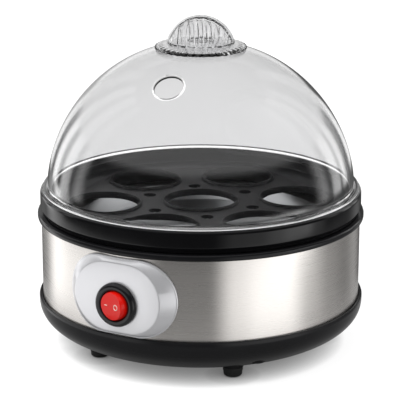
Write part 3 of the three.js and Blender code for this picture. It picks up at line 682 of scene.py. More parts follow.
def make_bowl(s, finish):
    """The bowl with its raised rim, the ledge for the band, posts, bosses and air slots."""
    power = 2.3  # of its curve, where 2 would be an ellipse
    inner_radius = s.bowl_radius - s.bowl_wall
    floor = s.bowl_bottom + s.bowl_wall
    outer = curve_outline(22, s.bowl_flat, s.bowl_radius, s.bowl_bottom, s.bowl_shoulder, power)
    inner = curve_outline(14, s.bowl_flat, inner_radius, floor, s.bowl_ledge, power)
    inner[-1] = (s.band_radius - 2, s.bowl_ledge)
    mouth = s.band_radius + s.gap
    edge = [
        (s.bowl_radius, s.bowl_rim - 0.7), (s.bowl_radius - 0.2, s.bowl_rim - 0.2),
        (s.bowl_radius - 0.6, s.bowl_rim), (mouth + 0.2, s.bowl_rim), (mouth, s.bowl_rim - 0.2),
        (mouth, s.bowl_ledge),
    ]
    bowl = turned("bowl_shell", outer + edge + inner[::-1], closed=False)
    posts, drills = screw_posts()
    boss_radius, boss_top, stem_radius = 5.6, 9.5, 2.8
    for azimuth in FOOT_AZIMUTHS:
        x, y = polar(azimuth, s.foot_circle)
        posts.append(moved(rod("boss", boss_radius, s.bowl_bottom, boss_top), x, y))
        drills.append(moved(rod("stem_hole", stem_radius, 0, 14), x, y))
    slots = 8
    for i in range(slots):
        drills.append(air_slot(floor, 360 / slots * (i + 0.5)))
    carved(bowl, joined(posts, "posts"), "UNION")
    carved(bowl, joined(drills, "drills"))
    finished(bowl, "base", finish.black_plastic, ["base_bowl"])


def screw_posts():
    """The bowl's four posts for its long screws, and the drills for their heads and shanks."""
    circle, post_radius, head_radius, shank_radius = 76.5, 4.8, 3.4, 1.9
    low, head, top = 12, 34, 40
    posts, drills = [], []
    for azimuth in (-130, -50, 50, 130):
        x, y = polar(azimuth, circle)
        posts.append(moved(rod("post", post_radius, low, top), x, y))
        drills.append(moved(rod("recess", head_radius, 0, head), x, y))
        drills.append(moved(rod("clearance", shank_radius, head - 1, top + 5), x, y))
    return posts, drills


def air_slot(floor, azimuth):
    """A slot with round ends through the bowl's floor."""
    half_width, half_straight, from_axis = 1.5, 5.5, 18
    slot = rod("slot", half_width, 0, floor + 3, sides=24)
    pick(slot)
    bpy.ops.object.mode_set(mode="EDIT")
    for side in (-1, 1):
        select_vertices(slot, lambda vertex, side=side: vertex.co.y * side > 0.1 * MM)
        bpy.ops.transform.translate(value=(0, side * half_straight * MM, 0))
    bpy.ops.object.mode_set(mode="OBJECT")
    moved(slot, turn=math.radians(azimuth))
    x, y = polar(azimuth, from_axis)
    return moved(slot, x, y)


def make_feet(s, finish):
    """The rubber feet, whose barbed stems sit in the bowl's bosses."""
    radius, top = s.foot_radius, s.bowl_bottom - 0.05
    stem, barb, barb_low, barb_high = 2.4, 3.3, 9.8, 12.8
    outline = [
        (0, 0), (radius - 1.6, 0), (radius - 0.95, 0.15), (radius - 0.5, 0.55), (radius - 0.35, 1.1),
        (radius - 0.25, 2.6), (radius, 3.1), (radius, top - 0.3), (radius - 0.3, top), (stem, top),
        (stem, barb_low), (barb, barb_low), (1.8, barb_high), (0, barb_high),
    ]
    for i, azimuth in enumerate(FOOT_AZIMUTHS):
        foot = turned(f"rubber_foot_{i + 1}", outline, sides=48, closed=False)
        x, y = polar(azimuth, s.foot_circle)
        moved(foot, x, y)
        finished(foot, "base", finish.black_rubber, [f"foot_{i + 1}"], smooth=35)


def make_band(s, finish):
    """The band, with holes for the switch in front and the gland behind."""
    inner = s.band_radius - s.band_wall
    bottom = s.bowl_ledge + s.gap
    switch_hole, gland_hole = 10.6, 6.3
    band = turned("steel_wall", [
        (s.band_radius, bottom), (s.band_radius, s.band_top), (inner, s.band_top), (inner, bottom),
    ], sides=240)
    drills = []
    for radius, turn, height in ((switch_hole, 90, s.switch_height), (gland_hole, -90, GLAND_HEIGHT)):
        drill = moved(rod("drill", radius, 70, 90), turn=math.radians(turn), axis="X")
        drills.append(moved(drill, z=height))
    carved(band, joined(drills, "drills"))
    finished(band, "base", finish.brushed_steel, ["steel_band"])


def make_top_ring(s, finish):
    """The ring that carries the plate and the tray, with a channel in its underside."""
    shelf, top, under = 66, 65, 63
    channel_inner, channel_outer, channel_top = 79, 82, 70.5
    band_inner, band_outer = s.band_radius - s.band_wall - s.gap, s.band_radius + s.gap
    groove, mouth = s.band_top + s.gap, 77
    lip, low, high = s.lip_radius, s.lip_bottom, s.lip_top
    ring = turned("top_housing", [
        (shelf, top), (shelf, under), (channel_inner, under), (channel_inner, channel_top),
        (channel_outer, channel_top), (channel_outer, under), (band_inner, under), (band_inner, groove),
        (band_outer, groove), (band_outer, low), (lip - 0.6, low), (lip - 0.15, low + 0.35),
        (lip, low + 0.9), (lip, high - 0.9), (lip - 0.15, high - 0.4), (lip - 0.6, high), (mouth + 0.4, high),
        (mouth + 0.1, high - 0.1), (mouth, high - 0.4), (mouth, top),
    ])
    finished(ring, "base", finish.black_plastic, ["top_ring"], smooth=40)


def make_plate(s, finish):
    """The dished plate of pressed sheet, a little raised in the middle."""
    floor, sheet, rim, raised, edge = s.plate_floor, 0.8, 67.3, 0.6, 74.3
    under = floor - sheet
    plate = turned("boiling_plate", [
        (0, floor + raised), (9, floor + raised), (9.4, floor + 0.5), (9.9, floor + 0.1), (10.3, floor),
        (60.5, floor), (61.4, floor + 0.15), (62.2, floor + 0.6), (62.9, floor + 1.3), (66, rim - 1.4),
        (66.35, rim - 0.6), (66.9, rim - 0.1), (67.4, rim), (edge - 0.3, rim), (edge, rim - 0.15),
        (edge, rim - sheet), (66.4, rim - sheet), (65.8, rim - sheet - 0.5), (62.2, under + 1.6),
        (61.4, under + 0.5), (60.3, under), (9, under), (8.6, under + 0.1), (8.1, under + 0.5),
        (7.8, under + raised), (0, under + raised),
    ], closed=False)
    finished(plate, "base", finish.spun_aluminium, ["heating_plate"])


def stadium(half_width, half_height, count=96):
    """Points of a stadium outline, anticlockwise from its right end."""
    straight = half_width - half_height
    points = []
    for turn in ring_turns(count):
        side = 1 if math.cos(turn) > 0 else -1
        points.append((side * straight + half_height * math.cos(turn), half_height * math.sin(turn)))
    return points


def lofted(name, rings, closed=False):
    """Extrudes a circle once for each ring of points, in millimetres, and puts every ring in its place.

    A closed one joins its last ring to its first; an open one gets a face in its first and last ring."""
    count = len(rings[0])
    piece = new_primitive(bpy.ops.mesh.primitive_circle_add, name, vertices=count, radius=MM)
    bpy.ops.object.mode_set(mode="EDIT")
    bpy.ops.mesh.select_all(action="SELECT")
    for _ in rings[1:]:
        bpy.ops.mesh.extrude_edges_move(TRANSFORM_OT_translate={"value": (0, 0, MM)})
    bpy.ops.object.mode_set(mode="OBJECT")
    for vertex in piece.data.vertices:
        level, place = divmod(vertex.index, count)
        vertex.co = Vector(rings[level][place]) * MM
    bpy.ops.object.mode_set(mode="EDIT")
    ends = (0, len(rings) - 1)
    if closed:
        select_vertices(piece, lambda vertex: vertex.index // count in ends)
        bpy.ops.mesh.bridge_edge_loops()
    else:
        for end in ends:
            select_vertices(piece, lambda vertex, end=end: vertex.index // count == end)
            bpy.ops.mesh.edge_face_add()
    end_edit()
    return piece


def make_panel(s, finish):
    """The raised stadium panel: its outline follows the band and its face is flat."""
    width, height, middle = s.panel_width, s.panel_height, s.panel_middle
    face_width, face_height = s.panel_face_width, s.panel_face_height
    onto, hole_radius = s.band_radius + s.gap, 10.2

    def wrapped(inset, radius):
        points = []
        for u, v in stadium(width - inset, height - inset):
            turn = u / s.band_radius
            points.append((radius * math.sin(turn), -radius * math.cos(turn), middle + v))
        return points

    def flat(inset, distance):
        return [(u, -distance, middle + v) for u, v in stadium(face_width - inset, face_height - inset)]

    hole = [(hole_radius * math.cos(t), hole_radius * math.sin(t)) for t in ring_turns(96)]
    mouth = [(x, -s.panel_face, s.switch_height + z) for x, z in hole]
    back = [(x, -math.sqrt(onto**2 - x**2), s.switch_height + z) for x, z in hole]
    rim = wrapped(0, onto)
    rings = [
        rim, wrapped(0, onto + 0.7), wrapped(0.15, onto + 1.05), wrapped(0.45, onto + 1.25),
        wrapped(0.9, onto + 1.3), flat(-0.5, s.panel_face - 0.22), flat(-0.15, s.panel_face - 0.05),
        flat(0.3, s.panel_face), mouth, back,
    ]
    for share in (0.25, 0.5, 0.75):
        between = [tuple(a + (b - a) * share for a, b in zip(p, q)) for p, q in zip(back, rim)]
        rings.append([(x, -math.sqrt(onto**2 - x**2), z) for x, _, z in between])
    panel = lofted("panel_shield", rings, closed=True)
    finished(panel, "base", finish.silver_lacquer, ["switch_panel"], smooth=24)


def facing_front(piece, s, distance=0, tilt=0):
    """Turns a piece's upright axis to the front at the switch, then tips it about an upright axis."""
    moved(piece, turn=math.pi / 2, axis="X")
    moved(piece, turn=tilt)
    moved(piece, y=-distance, z=s.switch_height)


def make_bezel(s, finish):
    """The bezel and the cup behind it in one, turned about the switch's own axis."""
    radius, crest, base, mouth = s.bezel_radius, s.bezel_crest, s.panel_face + s.gap, s.bezel_mouth
    body, back, cup_floor = 9.8, 76, 78
    bezel = turned("switch_bezel", [
        (0, back), (body, back), (body, base), (radius - 0.2, base), (radius, base + 0.2),
        (radius, base + 0.8), (radius - 0.12, base + 1.5), (radius - 0.45, base + 2.2),
        (radius - 0.95, crest - 0.35), (radius - 1.5, crest - 0.05), (radius - 1.9, crest),
        (mouth + 0.7, crest - 0.1), (mouth + 0.25, crest - 0.4), (mouth, crest - 0.9), (mouth, cup_floor),
        (0, cup_floor),
    ], sides=128, closed=False)
    facing_front(bezel, s)
    finished(bezel, "base", finish.gloss_black, ["switch_housing"], smooth=40)


def make_rocker(s, finish):
    """The red cap, which is cut from a ball and dished, and its marks."""
    ball, top, low = s.bezel_mouth - s.gap, 3.06, -4
    dish_depth, dish_radius, steps = 0.6, 40, 14
    dish_middle = top - dish_depth + dish_radius
    arc = []
    for i in range(steps + 1):
        height = low + (top - low) * i / steps
        arc.append((math.sqrt(ball**2 - height**2), height))
    rocker = turned("rocker_cap", arc, sides=128, closed=False)
    scoop = rod("scoop", dish_radius, -15, 15, sides=256)
    moved(scoop, turn=math.pi / 2, axis="X")
    moved(scoop, z=dish_middle)
    carved(rocker, scoop)
    bevelled(rocker, 0.35, segments=3, limit=25)
    facing_front(rocker, s, s.rocker_pivot, -s.rocker_tilt)
    finished(rocker, "rocker", finish.red_plastic, ["switch_rocker"], smooth=35)
    for mark in (stroke_mark(dish_middle, dish_radius), ring_mark(dish_middle, dish_radius)):
        facing_front(mark, s, s.rocker_pivot, -s.rocker_tilt)
        finished(mark, "rocker", finish.mark_paint)


def stroke_mark(dish_middle, dish_radius):
    """The I mark, a rounded stroke sunk a little into the dish."""
    place, sunk = 4.2, 0.18
    size = {"size": MM, "scale": (0.55, 2.6, 0.5)}
    mark = new_primitive(bpy.ops.mesh.primitive_cube_add, "rocker_mark_on", **size)
    bevelled(mark, 0.12)
    moved(mark, turn=math.pi / 2)
    return moved(mark, x=-place, z=dish_middle - math.sqrt(dish_radius**2 - place**2) - sunk)


def ring_mark(dish_middle, dish_radius):
    """The O mark, a small ring that lies on the dish."""
    place, radius, thickness, corners = 2.9, 1.3, 0.26, 12
    turns = [2 * math.pi * i / corners for i in range(corners)]
    outline = [(radius + thickness * math.cos(turn), thickness * math.sin(turn)) for turn in turns]
    mark = turned("rocker_mark_off", outline, sides=48)
    moved(mark, turn=-math.asin(place / dish_radius), axis="Y")
    return moved(mark, x=place, z=dish_middle - math.sqrt(dish_radius**2 - place**2))


def make_tray(s, finish):
    """The pan with its band, and a deck with seven rimmed seats and six steam holes."""
    deck, under = s.deck, s.deck - 2
    crest, outer = deck + 1.4, s.seat_radius + 1.7
    tray = tray_pan(s, under)
    rim = turned("rim", [
        (s.seat_radius - 0.6, under + 0.5), (outer + 0.6, under + 0.5), (outer + 0.3, deck + 0.1),
        (outer, crest - 0.5), (outer - 0.5, crest), (s.seat_radius - 0.6, crest),
    ], sides=96)
    bore = turned("bore", [
        (s.seat_radius, under - 4), (s.seat_radius, deck - 0.4), (s.seat_radius + 0.9, crest + 0.1),
        (s.seat_radius + 0.9, crest + 3),
    ], sides=96, closed=False)
    steam_radius, steam_circle, tray_turn = 3.5, 30, 5
    hole = rod("steam", steam_radius, under - 4, deck + 4, sides=48)
    rims, cutters = [], []
    for i, (x, y) in enumerate([(0, 0)] + [polar(60 * i, s.seat_circle) for i in range(6)]):
        rims.append(moved(copied(rim, f"rim_{i}"), x, y))
        cutters.append(moved(copied(bore, f"bore_{i}"), x, y))
    for i in range(6):
        cutters.append(moved(copied(hole, f"steam_{i}"), *polar(60 * i + 30, steam_circle)))
    for spare in (rim, bore, hole):
        bpy.data.objects.remove(spare)
    carved(tray, joined(rims, "rims"), "UNION")
    carved(tray, joined(cutters, "cutters"))
    moved(tray, turn=math.radians(tray_turn))
    finished(tray, "tray", finish.deck_plastic, ["egg_tray"], smooth=35)


def tray_pan(s, under):
    """The tray's skirt, band and deck, without openings."""
    deck, top, radius, bottom = s.deck, s.tray_top, s.tray_radius, s.tray_bottom
    skirt, skirt_low, wall = 76.3, 68, 83
    return turned("seat_tray", [
        (skirt - 1.6, under), (skirt - 1.6, skirt_low + 0.3), (skirt - 1.3, skirt_low),
        (skirt - 0.3, skirt_low), (skirt, skirt_low + 0.3), (skirt, bottom), (radius - 1.9, bottom),
        (radius - 1.6, bottom + 0.2), (radius - 1.1, bottom + 1.6), (radius - 0.15, bottom + 2.9),
        (radius, bottom + 3.3), (radius, bottom + 3.5), (radius, top - 1.7), (radius, top - 1.5),
        (radius - 0.1, top - 0.95), (radius - 0.35, top - 0.45), (radius - 0.7, top - 0.12),
        (radius - 1.1, top), (wall + 0.3, top), (wall, top - 0.3), (wall - 0.6, deck + 1.6),
        (wall - 1, deck + 0.5), (wall - 1.8, deck),
    ], closed=False)


def dome_points(s, outset, steps):
    """The dome's curve from its spring to its apex, moved outwards by an outset."""
    wide, tall = DOME_POWERS
    points = []
    for t in quarter_turn(steps):
        across = (s.dome_radius + outset) * math.cos(t) ** (2 / wide)
        points.append((across, s.dome_spring + (s.dome_height + outset) * math.sin(t) ** (2 / tall)))
    points[-1] = (0, points[-1][1])
    return points


def dome_height_at(s, outset, distance):
    """The height of that curve at a distance from the axis."""
    wide, tall = DOME_POWERS
    share = 1 - (distance / (s.dome_radius + outset)) ** wide
    return s.dome_spring + (s.dome_height + outset) * share ** (1 / tall)


def make_dome(s, finish):
    """The dome, the flange that rests on the tray and the short collar that centres it there."""
    onto, low = s.tray_top + s.gap, 81.6
    radius, flange, top = s.dome_radius, s.flange_radius, onto + s.flange_thickness
    inner = radius - s.dome_wall
    outline = dome_points(s, 0, 56)[1:][::-1] + [
        (radius + 0.15, top + 0.35), (radius + 0.5, top + 0.05), (radius + 0.9, top), (flange - 0.45, top),
        (flange - 0.13, top - 0.12), (flange, top - 0.4), (flange, onto + 0.3), (flange - 0.25, onto),
        (radius + 0.1, onto), (radius, onto - 0.1), (radius, low + 0.3), (radius - 0.3, low),
        (inner + 0.3, low), (inner, low + 0.3),
    ] + dome_points(s, -s.dome_wall, 48)[1:]
    dome = turned("clear_dome", outline, sides=256, closed=False)
    carved(dome, vent_drill(s))
    moved(dome, turn=s.lid_turn)
    finished(dome, "lid", finish.clear_plastic, ["lid_dome"], smooth=40)


def vent_drill(s):
    """The steam hole, widened towards both faces of the dome."""
    bore, mouth, reach = s.vent_radius, s.vent_radius + 1, 10
    drill = turned("drill", [
        (0, -reach), (mouth, -reach), (mouth, -2.75), (bore, -1.85), (bore, -1.15), (mouth, -0.15),
        (mouth, reach), (0, reach),
    ], sides=96, closed=False)
    moved(drill, turn=math.radians(VENT_TILT), axis="X")
    moved(drill, turn=math.radians(VENT_AZIMUTH))
    return moved(drill, *polar(VENT_AZIMUTH, VENT_DISTANCE), VENT_HEIGHT)


def grip_depth(s, x, z, inset, fluted):
    """Half of the grip's depth at a place on its broad side."""
    border, rim = 0.9, 2.2 - inset / 2
    groove_pitch, groove_depth, groove_edge, groove_slope = 4.65, 1.1, 0.62, 0.18
    reach = math.hypot(x, z) / (s.knob_width - (inset or border))
    if reach >= 1:
        return rim
    swell = math.sqrt(1 - reach**2)
    depth = rim + (s.knob_depth - inset - rim) * swell
    if fluted:
        rib = (abs(math.sin(math.pi * x / groove_pitch)) - groove_edge) / groove_slope
        depth -= groove_depth * (1 - min(1, max(0, rib)))
    return depth


def grip_solid(s, name, inset, fluted, columns, rows):
    """The half-round grip as columns of points: up its front and down its back."""
    radius, low = s.knob_width - inset, -3
    rings = []
    for i in range(columns + 1):
        x = -radius * math.cos(math.pi * i / columns) * 0.998
        high = math.sqrt(radius**2 - x**2)
        front = []
        for j in range(rows + 1):
            z = low + (high - low) * math.sin(j / rows * math.pi / 2)
            front.append((x, -grip_depth(s, x, max(z, 0), inset, fluted), s.knob_base + z))
        rings.append(front + [(x, -y, z) for x, y, z in reversed(front)])
    return lofted(name, rings)


def dome_solid(s, outset):
    """The upper part of the room under the dome, filled."""
    outline = [(s.dome_radius * 0.5, s.dome_spring)] + dome_points(s, outset, 40)[12:]
    return turned("dome", outline, sides=128, closed=False)


def knob_foot(s):
    """The grip's round foot, a thin ring that follows the dome, with notches in its edge."""
    thickness, opening, edge = 1.6, 7, s.knob_foot
    notches, notch_share, notch_reach = 40, 0.06, 3
    stations = [opening + (edge - 0.6 - opening) * i / 12 for i in range(13)]
    under = [(across, dome_height_at(s, s.gap, across)) for across in stations]
    over = [(across, dome_height_at(s, s.gap + thickness, across)) for across in reversed(stations)]
    low, high = dome_height_at(s, s.gap, edge), dome_height_at(s, s.gap + thickness, edge)
    side = [(edge - 0.1, low + 0.1), (edge, low + 0.4), (edge, high - 0.5), (edge - 0.2, high - 0.12)]
    foot = turned("foot", under + side + over, sides=240)
    for vertex in foot.data.vertices:
        place = vertex.co / MM
        outer = max(0, math.hypot(place.x, place.y) - (edge - notch_reach)) / notch_reach
        wave = math.cos(notches * math.atan2(place.y, place.x))
        notch = 1 - notch_share * outer * max(0, wave)
        vertex.co = Vector((place.x * notch, place.y * notch, place.z)) * MM
    return foot


def make_knob(s, finish):
    """The hollow fluted grip on its foot."""
    grip = grip_solid(s, "clear_knob", inset=0, fluted=True, columns=320, rows=24)
    carved(grip, grip_solid(s, "hollow", inset=2, fluted=False, columns=48, rows=16))
    carved(grip, dome_solid(s, s.gap + 0.5))
    carved(grip, knob_foot(s), "UNION")
    moved(grip, turn=s.lid_turn)
    finished(grip, "lid", finish.fluted_plastic, ["lid_knob"])


def make_gland(s, finish):
    """The rubber bush in the band's hole, held by a flange on each side, with a ribbed tail."""
    onto, bore, flange = s.band_radius + s.gap, 3.4, 8
    inner_end, inner_flange, neck, tail_end = 82, 7.4, 5.9, 94.8
    gland = turned("rear_gland", [
        (bore, inner_end + 0.3), (bore + 0.3, inner_end), (inner_flange - 0.3, inner_end),
        (inner_flange, inner_end + 0.3), (inner_flange, 83.7), (neck, 83.7), (neck, onto),
        (flange - 0.2, onto), (flange, onto + 0.2), (flange, onto + 1.4), (flange - 0.3, onto + 1.9),
        (flange - 1.1, onto + 2.3), (6.2, onto + 2.5), (5.8, onto + 3), (5.6, 90.2), (5.2, 90.4),
        (5.2, 91.2), (5.5, 91.4), (5.4, 92.4), (5, 92.6), (5, 93.3), (5.2, 93.5), (5, 94.5),
        (4.7, tail_end), (bore + 0.3, tail_end), (bore, tail_end - 0.3),
    ], sides=64)
    moved(gland, turn=-math.pi / 2, axis="X")
    moved(gland, z=GLAND_HEIGHT)
    finished(gland, "base", finish.black_rubber, ["cord_gland"], smooth=35)


CARRIED = {
    "zinc_plate": [
        "housing_screw_1", "housing_screw_2", "housing_screw_3", "housing_screw_4", "heating_element",
        "plate_strap", "strap_screw_left", "strap_screw_right", "thermal_fuse", "fuse_clip", "panel_screw_1",
        "panel_screw_2", "contact_spring", "clamp_screw_1", "clamp_screw_2", "block_screw",
    ],
    "spun_aluminium": ["heat_spreader"],
    "pale_silicone": ["plate_seal"],
    "pale_nylon": ["thermostat", "contact_plunger", "terminal_block"],
    "stamped_brass": [
        "earth_lug", "earth_screw", "switch_terminal_1", "switch_terminal_2", "switch_terminal_3",
        "contact_lever",
    ],
    "lamp_glass": ["neon_lamp"],
    "black_plastic": ["cord_clamp"],
    "brown_insulation": ["lead_live", "lead_switched"],
    "grey_insulation": ["lead_fused"],
    "blue_insulation": ["lead_neutral"],
    "green_insulation": ["lead_earth"],
}


def finish_inner_nodes(finish):
    """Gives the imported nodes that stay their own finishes."""
    for name, nodes in CARRIED.items():
        for node in nodes:
            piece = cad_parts[node]
            piece.data.materials.clear()
            piece.data.materials.append(getattr(finish, name))


# Stage


def seen_rays(finish):
    """1 for rays from the camera, and less for those that come through the lid or off a shiny surface."""
    through_share, mirrored_share = 0.38, 0.25
    path = finish.tree.nodes.new("ShaderNodeLightPath")
    kinds = ("Is Camera Ray", "Is Transmission Ray", "Is Glossy Ray")
    direct, through, mirrored = (Value(finish, path.outputs[kind]) for kind in kinds)
    return direct + through_share * through + mirrored_share * mirrored


def floor_finish():
    """A matt white floor that glows, with a painted shadow that dims it where the object stands over it."""
    shadow_reach, shadow_power, white = 0.0105, 1.2, 0.88
    finish = Finish("white_floor", specular_ior_level=0.0, roughness=1.0)
    near = {"Distance": shadow_reach}
    # Painted shadow: the floor's glow is dimmed by ambient occlusion close under the object.
    unoccluded = finish.node("ShaderNodeAmbientOcclusion", {"samples": 16}, near, output="AO")
    painted_glow = seen_rays(finish) * white * unoccluded**shadow_power
    finish.shade(emission_color=finish.mix(painted_glow, (0, 0, 0), (1, 1, 1)), emission_strength=1.0)
    finish.shade(base_color=finish.mix(finish.noise(3, 2), (0.22, 0.22, 0.22), (0.24, 0.24, 0.24)))
    return finish.material


# Azimuth in degrees from the front, and grey: of the low cloths, which the steel shows, of the middle ones,
# which the black tray shows, and of the high ones, which the lid shows.
LOW_CLOTHS = [
    (-180, 0.03), (-140, 0.02), (-112, 0.01), (-84, 0.1), (-66, 0.58), (-48, 0.48), (-30, 0.46), (-8, 0.46),
    (9, 0.08), (33, 0.08), (46, 0.43), (60, 0.58), (74, 0.58), (90, 0.24), (106, 0.12), (124, 0.07),
    (140, 0.13), (158, 0.02), (180, 0.03),
]
MIDDLE_CLOTHS = [
    (-180, 0.03), (-112, 0.02), (-84, 0.12), (-74, 0.8), (-62, 0.4), (-52, 0.03), (34, 0.03), (46, 0.33),
    (58, 0.4), (68, 0.7), (76, 1.0), (86, 1.0), (94, 0.3), (104, 0.05), (180, 0.03),
]
HIGH_CLOTHS = [
    (-180, 0.03), (-118, 0.16), (-111, 0.16), (-106, 0.33), (-98, 0.33), (-94, 0.05), (-89, 0.05),
    (-85, 0.55), (-79, 0.55), (-76, 0.08), (-72, 0.08), (-69, 0.6), (-62, 0.6), (-58, 0.08), (-50, 0.4),
    (-42, 0.02), (97, 0.02), (107, 0.4), (115, 0.08), (119, 0.6), (126, 0.6), (129, 0.08), (133, 0.5),
    (137, 0.5), (141, 0.05), (151, 0.04), (155, 0.33), (163, 0.33), (168, 0.04), (180, 0.03),
]


def tent_finish():
    """Bright and dark cloths side by side, as shiny surfaces see them, in rows that meet at soft seams."""
    finish = Finish("tent_cloths", base_color=(0.0, 0.0, 0.0), specular_ior_level=0.0, roughness=1.0)
    across, along, up = (finish.coordinate(axis) for axis in "XYZ")
    azimuth = across.math("ARCTAN2", across, along * -1) / (2 * math.pi) + 0.5
    low, middle, high = (cloth_row(finish, azimuth, row) for row in (LOW_CLOTHS, MIDDLE_CLOTHS, HIGH_CLOTHS))
    above = (0.37, 0.37, 0.37)
    seams = ((middle, 0.052, 0.057, 1), (high, 0.07, 0.082, 1), (above, 0.14, 0.16, 0.75))
    cloths = low
    for row, start, end, most in seams:
        cloths = finish.mix(finish.step(up, start, end, most), cloths, row)
    finish.shade(emission_color=cloths, emission_strength=3.2)
    bounces = finish.node("ShaderNodeLightPath", output="Glossy Depth")
    mirrored = bounces.math("GREATER_THAN", bounces, 0.5)
    finish.cover(mirrored, finish.node("ShaderNodeBsdfTransparent", None, {"Color": (1, 1, 1)}))
    return finish.material


def cloth_row(finish, azimuth, cloths):
    """The greys of one row of cloths, by a value that goes from 0 to 1 once round the tent."""
    stops = [(degrees / 360 + 0.5, grey) for degrees, grey in cloths]
    return finish.node("ShaderNodeValToRGB", {"stops": stops}, {0: azimuth})


def make_tent(radius, height):
    """A ring of cloths round the object that only shiny surfaces see."""
    tent = new_primitive(
        bpy.ops.mesh.primitive_cylinder_add, "tent", vertices=ROUND, radius=radius, depth=height,
        location=(0, 0, height / 2), end_fill_type="NOTHING",
    )
    tent.data.materials.append(tent_finish())
    for kind in ("camera", "diffuse", "volume_scatter", "shadow"):
        setattr(tent, f"visible_{kind}", False)


def direction(azimuth, elevation):
    """The direction from the object towards a lamp or the camera, from angles in degrees."""
    turn, rise = math.radians(azimuth), math.radians(elevation)
    return Vector((math.sin(turn) * math.cos(rise), -math.cos(turn) * math.cos(rise), math.sin(rise)))


def softbox(name, azimuth, elevation, size, power):
    """A soft lamp three metres from the middle of the object, which no shiny surface shows."""
    middle, back = Vector((0, 0, 0.08)), direction(azimuth, elevation)
    bpy.ops.object.light_add(type="AREA", location=middle + back * 3)
    lamp = bpy.context.active_object
    lamp.name = lamp.data.name = name
    lamp.rotation_euler = back.to_track_quat("Z", "Y").to_euler()
    lamp.data.shape = "RECTANGLE"
    lamp.data.size, lamp.data.size_y = size
    lamp.data.energy = power
    lamp.visible_glossy = lamp.visible_transmission = False


def make_world():
    """A bright horizon under a slightly dimmer ceiling; the camera sees plain white."""
    world = bpy.data.worlds.new("studio")
    world.use_nodes = True
    tree = world.node_tree
    ray = tree.nodes.new("ShaderNodeTexCoord").outputs["Generated"]
    apart = tree.nodes.new("ShaderNodeSeparateXYZ")
    level = tree.nodes.new("ShaderNodeMapRange")
    level.interpolation_type = "SMOOTHSTEP"
    for key, value in (("From Min", 0.12), ("From Max", 0.28), ("To Min", 1.0), ("To Max", 0.9)):
        level.inputs[key].default_value = value
    light, seen = tree.nodes["Background"], tree.nodes.new("ShaderNodeBackground")
    for background in (light, seen):
        background.inputs["Color"].default_value = (1, 1, 1, 1)
        background.inputs["Strength"].default_value = 1.0
    path = tree.nodes.new("ShaderNodeLightPath")
    mixed = tree.nodes.new("ShaderNodeMixShader")
    for source, target in (
        (ray, apart.inputs[0]), (apart.outputs["Z"], level.inputs["Value"]),
        (level.outputs[0], light.inputs["Strength"]), (path.outputs["Is Camera Ray"], mixed.inputs[0]),
        (light.outputs[0], mixed.inputs[1]), (seen.outputs[0], mixed.inputs[2]),
        (mixed.outputs[0], tree.nodes["World Output"].inputs["Surface"]),
    ):
        tree.links.new(source, target)
    bpy.context.scene.world = world


def make_camera():
    """The photograph's view: distance, aim and offset to the left in metres, lens in millimetres."""
    azimuth, elevation, distance, lens = 28.5, 16.1, 1.014, 170.2
    aim_height, offset = 0.07656, 0.0004
    back = direction(azimuth, elevation)
    aim = Vector((0, 0, aim_height)) - direction(azimuth + 90, 0) * offset
    bpy.ops.object.camera_add(location=aim + back * distance)
    camera = bpy.context.active_object
    camera.rotation_euler = back.to_track_quat("Z", "Y").to_euler()
    camera.data.lens = lens
    camera.data.sensor_width = 36
    camera.data.clip_start, camera.data.clip_end = 0.01, 50
    bpy.context.scene.camera = camera


def make_stage():
    bpy.context.scene.view_settings.view_transform = "Standard"
    floor = new_primitive(bpy.ops.mesh.primitive_plane_add, "floor", size=16, location=(0, 0, -0.0003))
    floor.data.materials.append(floor_finish())
    make_world()
    softbox("key", azimuth=-38, elevation=52, size=(2, 1.6), power=40)
    softbox("fill", azimuth=78, elevation=40, size=(1.6, 1.6), power=9)
    softbox("top", azimuth=20, elevation=84, size=(1.8, 1.8), power=10)
    make_tent(radius=0.15, height=0.3)
    make_camera()


# Operators


class PieceOperator:
    """What every piece's operator shares."""

    bl_options = {"REGISTER", "UNDO"}

    def execute(self, context):
        self.make(millimetres(context), finishes(context))
        return {"FINISHED"}


class EGGBOILER_OT_stage(bpy.types.Operator):
    """Light the studio and set the camera"""

    bl_idname = "egg_boiler.stage"
    bl_label = "Stage"
    bl_options = {"REGISTER", "UNDO"}

    def execute(self, context):
        make_stage()
        return {"FINISHED"}


class EGGBOILER_OT_bowl(PieceOperator, bpy.types.Operator):
    """Model the black bowl-shaped base"""

    bl_idname = "egg_boiler.bowl"
    bl_label = "Bowl"
    make = staticmethod(make_bowl)


class EGGBOILER_OT_feet(PieceOperator, bpy.types.Operator):
    """Model the five rubber feet"""

    bl_idname = "egg_boiler.feet"
    bl_label = "Feet"
    make = staticmethod(make_feet)


class EGGBOILER_OT_band(PieceOperator, bpy.types.Operator):
    """Model the brushed steel band"""

    bl_idname = "egg_boiler.band"
    bl_label = "Steel Band"
    make = staticmethod(make_band)


class EGGBOILER_OT_top_ring(PieceOperator, bpy.types.Operator):
    """Model the black upper housing and its lip"""

    bl_idname = "egg_boiler.top_ring"
    bl_label = "Top Housing"
    make = staticmethod(make_top_ring)


class EGGBOILER_OT_plate(PieceOperator, bpy.types.Operator):
    """Model the dished heating plate"""

    bl_idname = "egg_boiler.plate"
    bl_label = "Heating Plate"
    make = staticmethod(make_plate)


class EGGBOILER_OT_panel(PieceOperator, bpy.types.Operator):
    """Model the raised silver panel"""

    bl_idname = "egg_boiler.panel"
    bl_label = "Switch Panel"
    make = staticmethod(make_panel)


class EGGBOILER_OT_bezel(PieceOperator, bpy.types.Operator):
    """Model the switch's round bezel and body"""

    bl_idname = "egg_boiler.bezel"
    bl_label = "Bezel"
    make = staticmethod(make_bezel)


class EGGBOILER_OT_rocker(PieceOperator, bpy.types.Operator):
    """Model the red rocker and its marks"""

    bl_idname = "egg_boiler.rocker"
    bl_label = "Rocker"
    make = staticmethod(make_rocker)


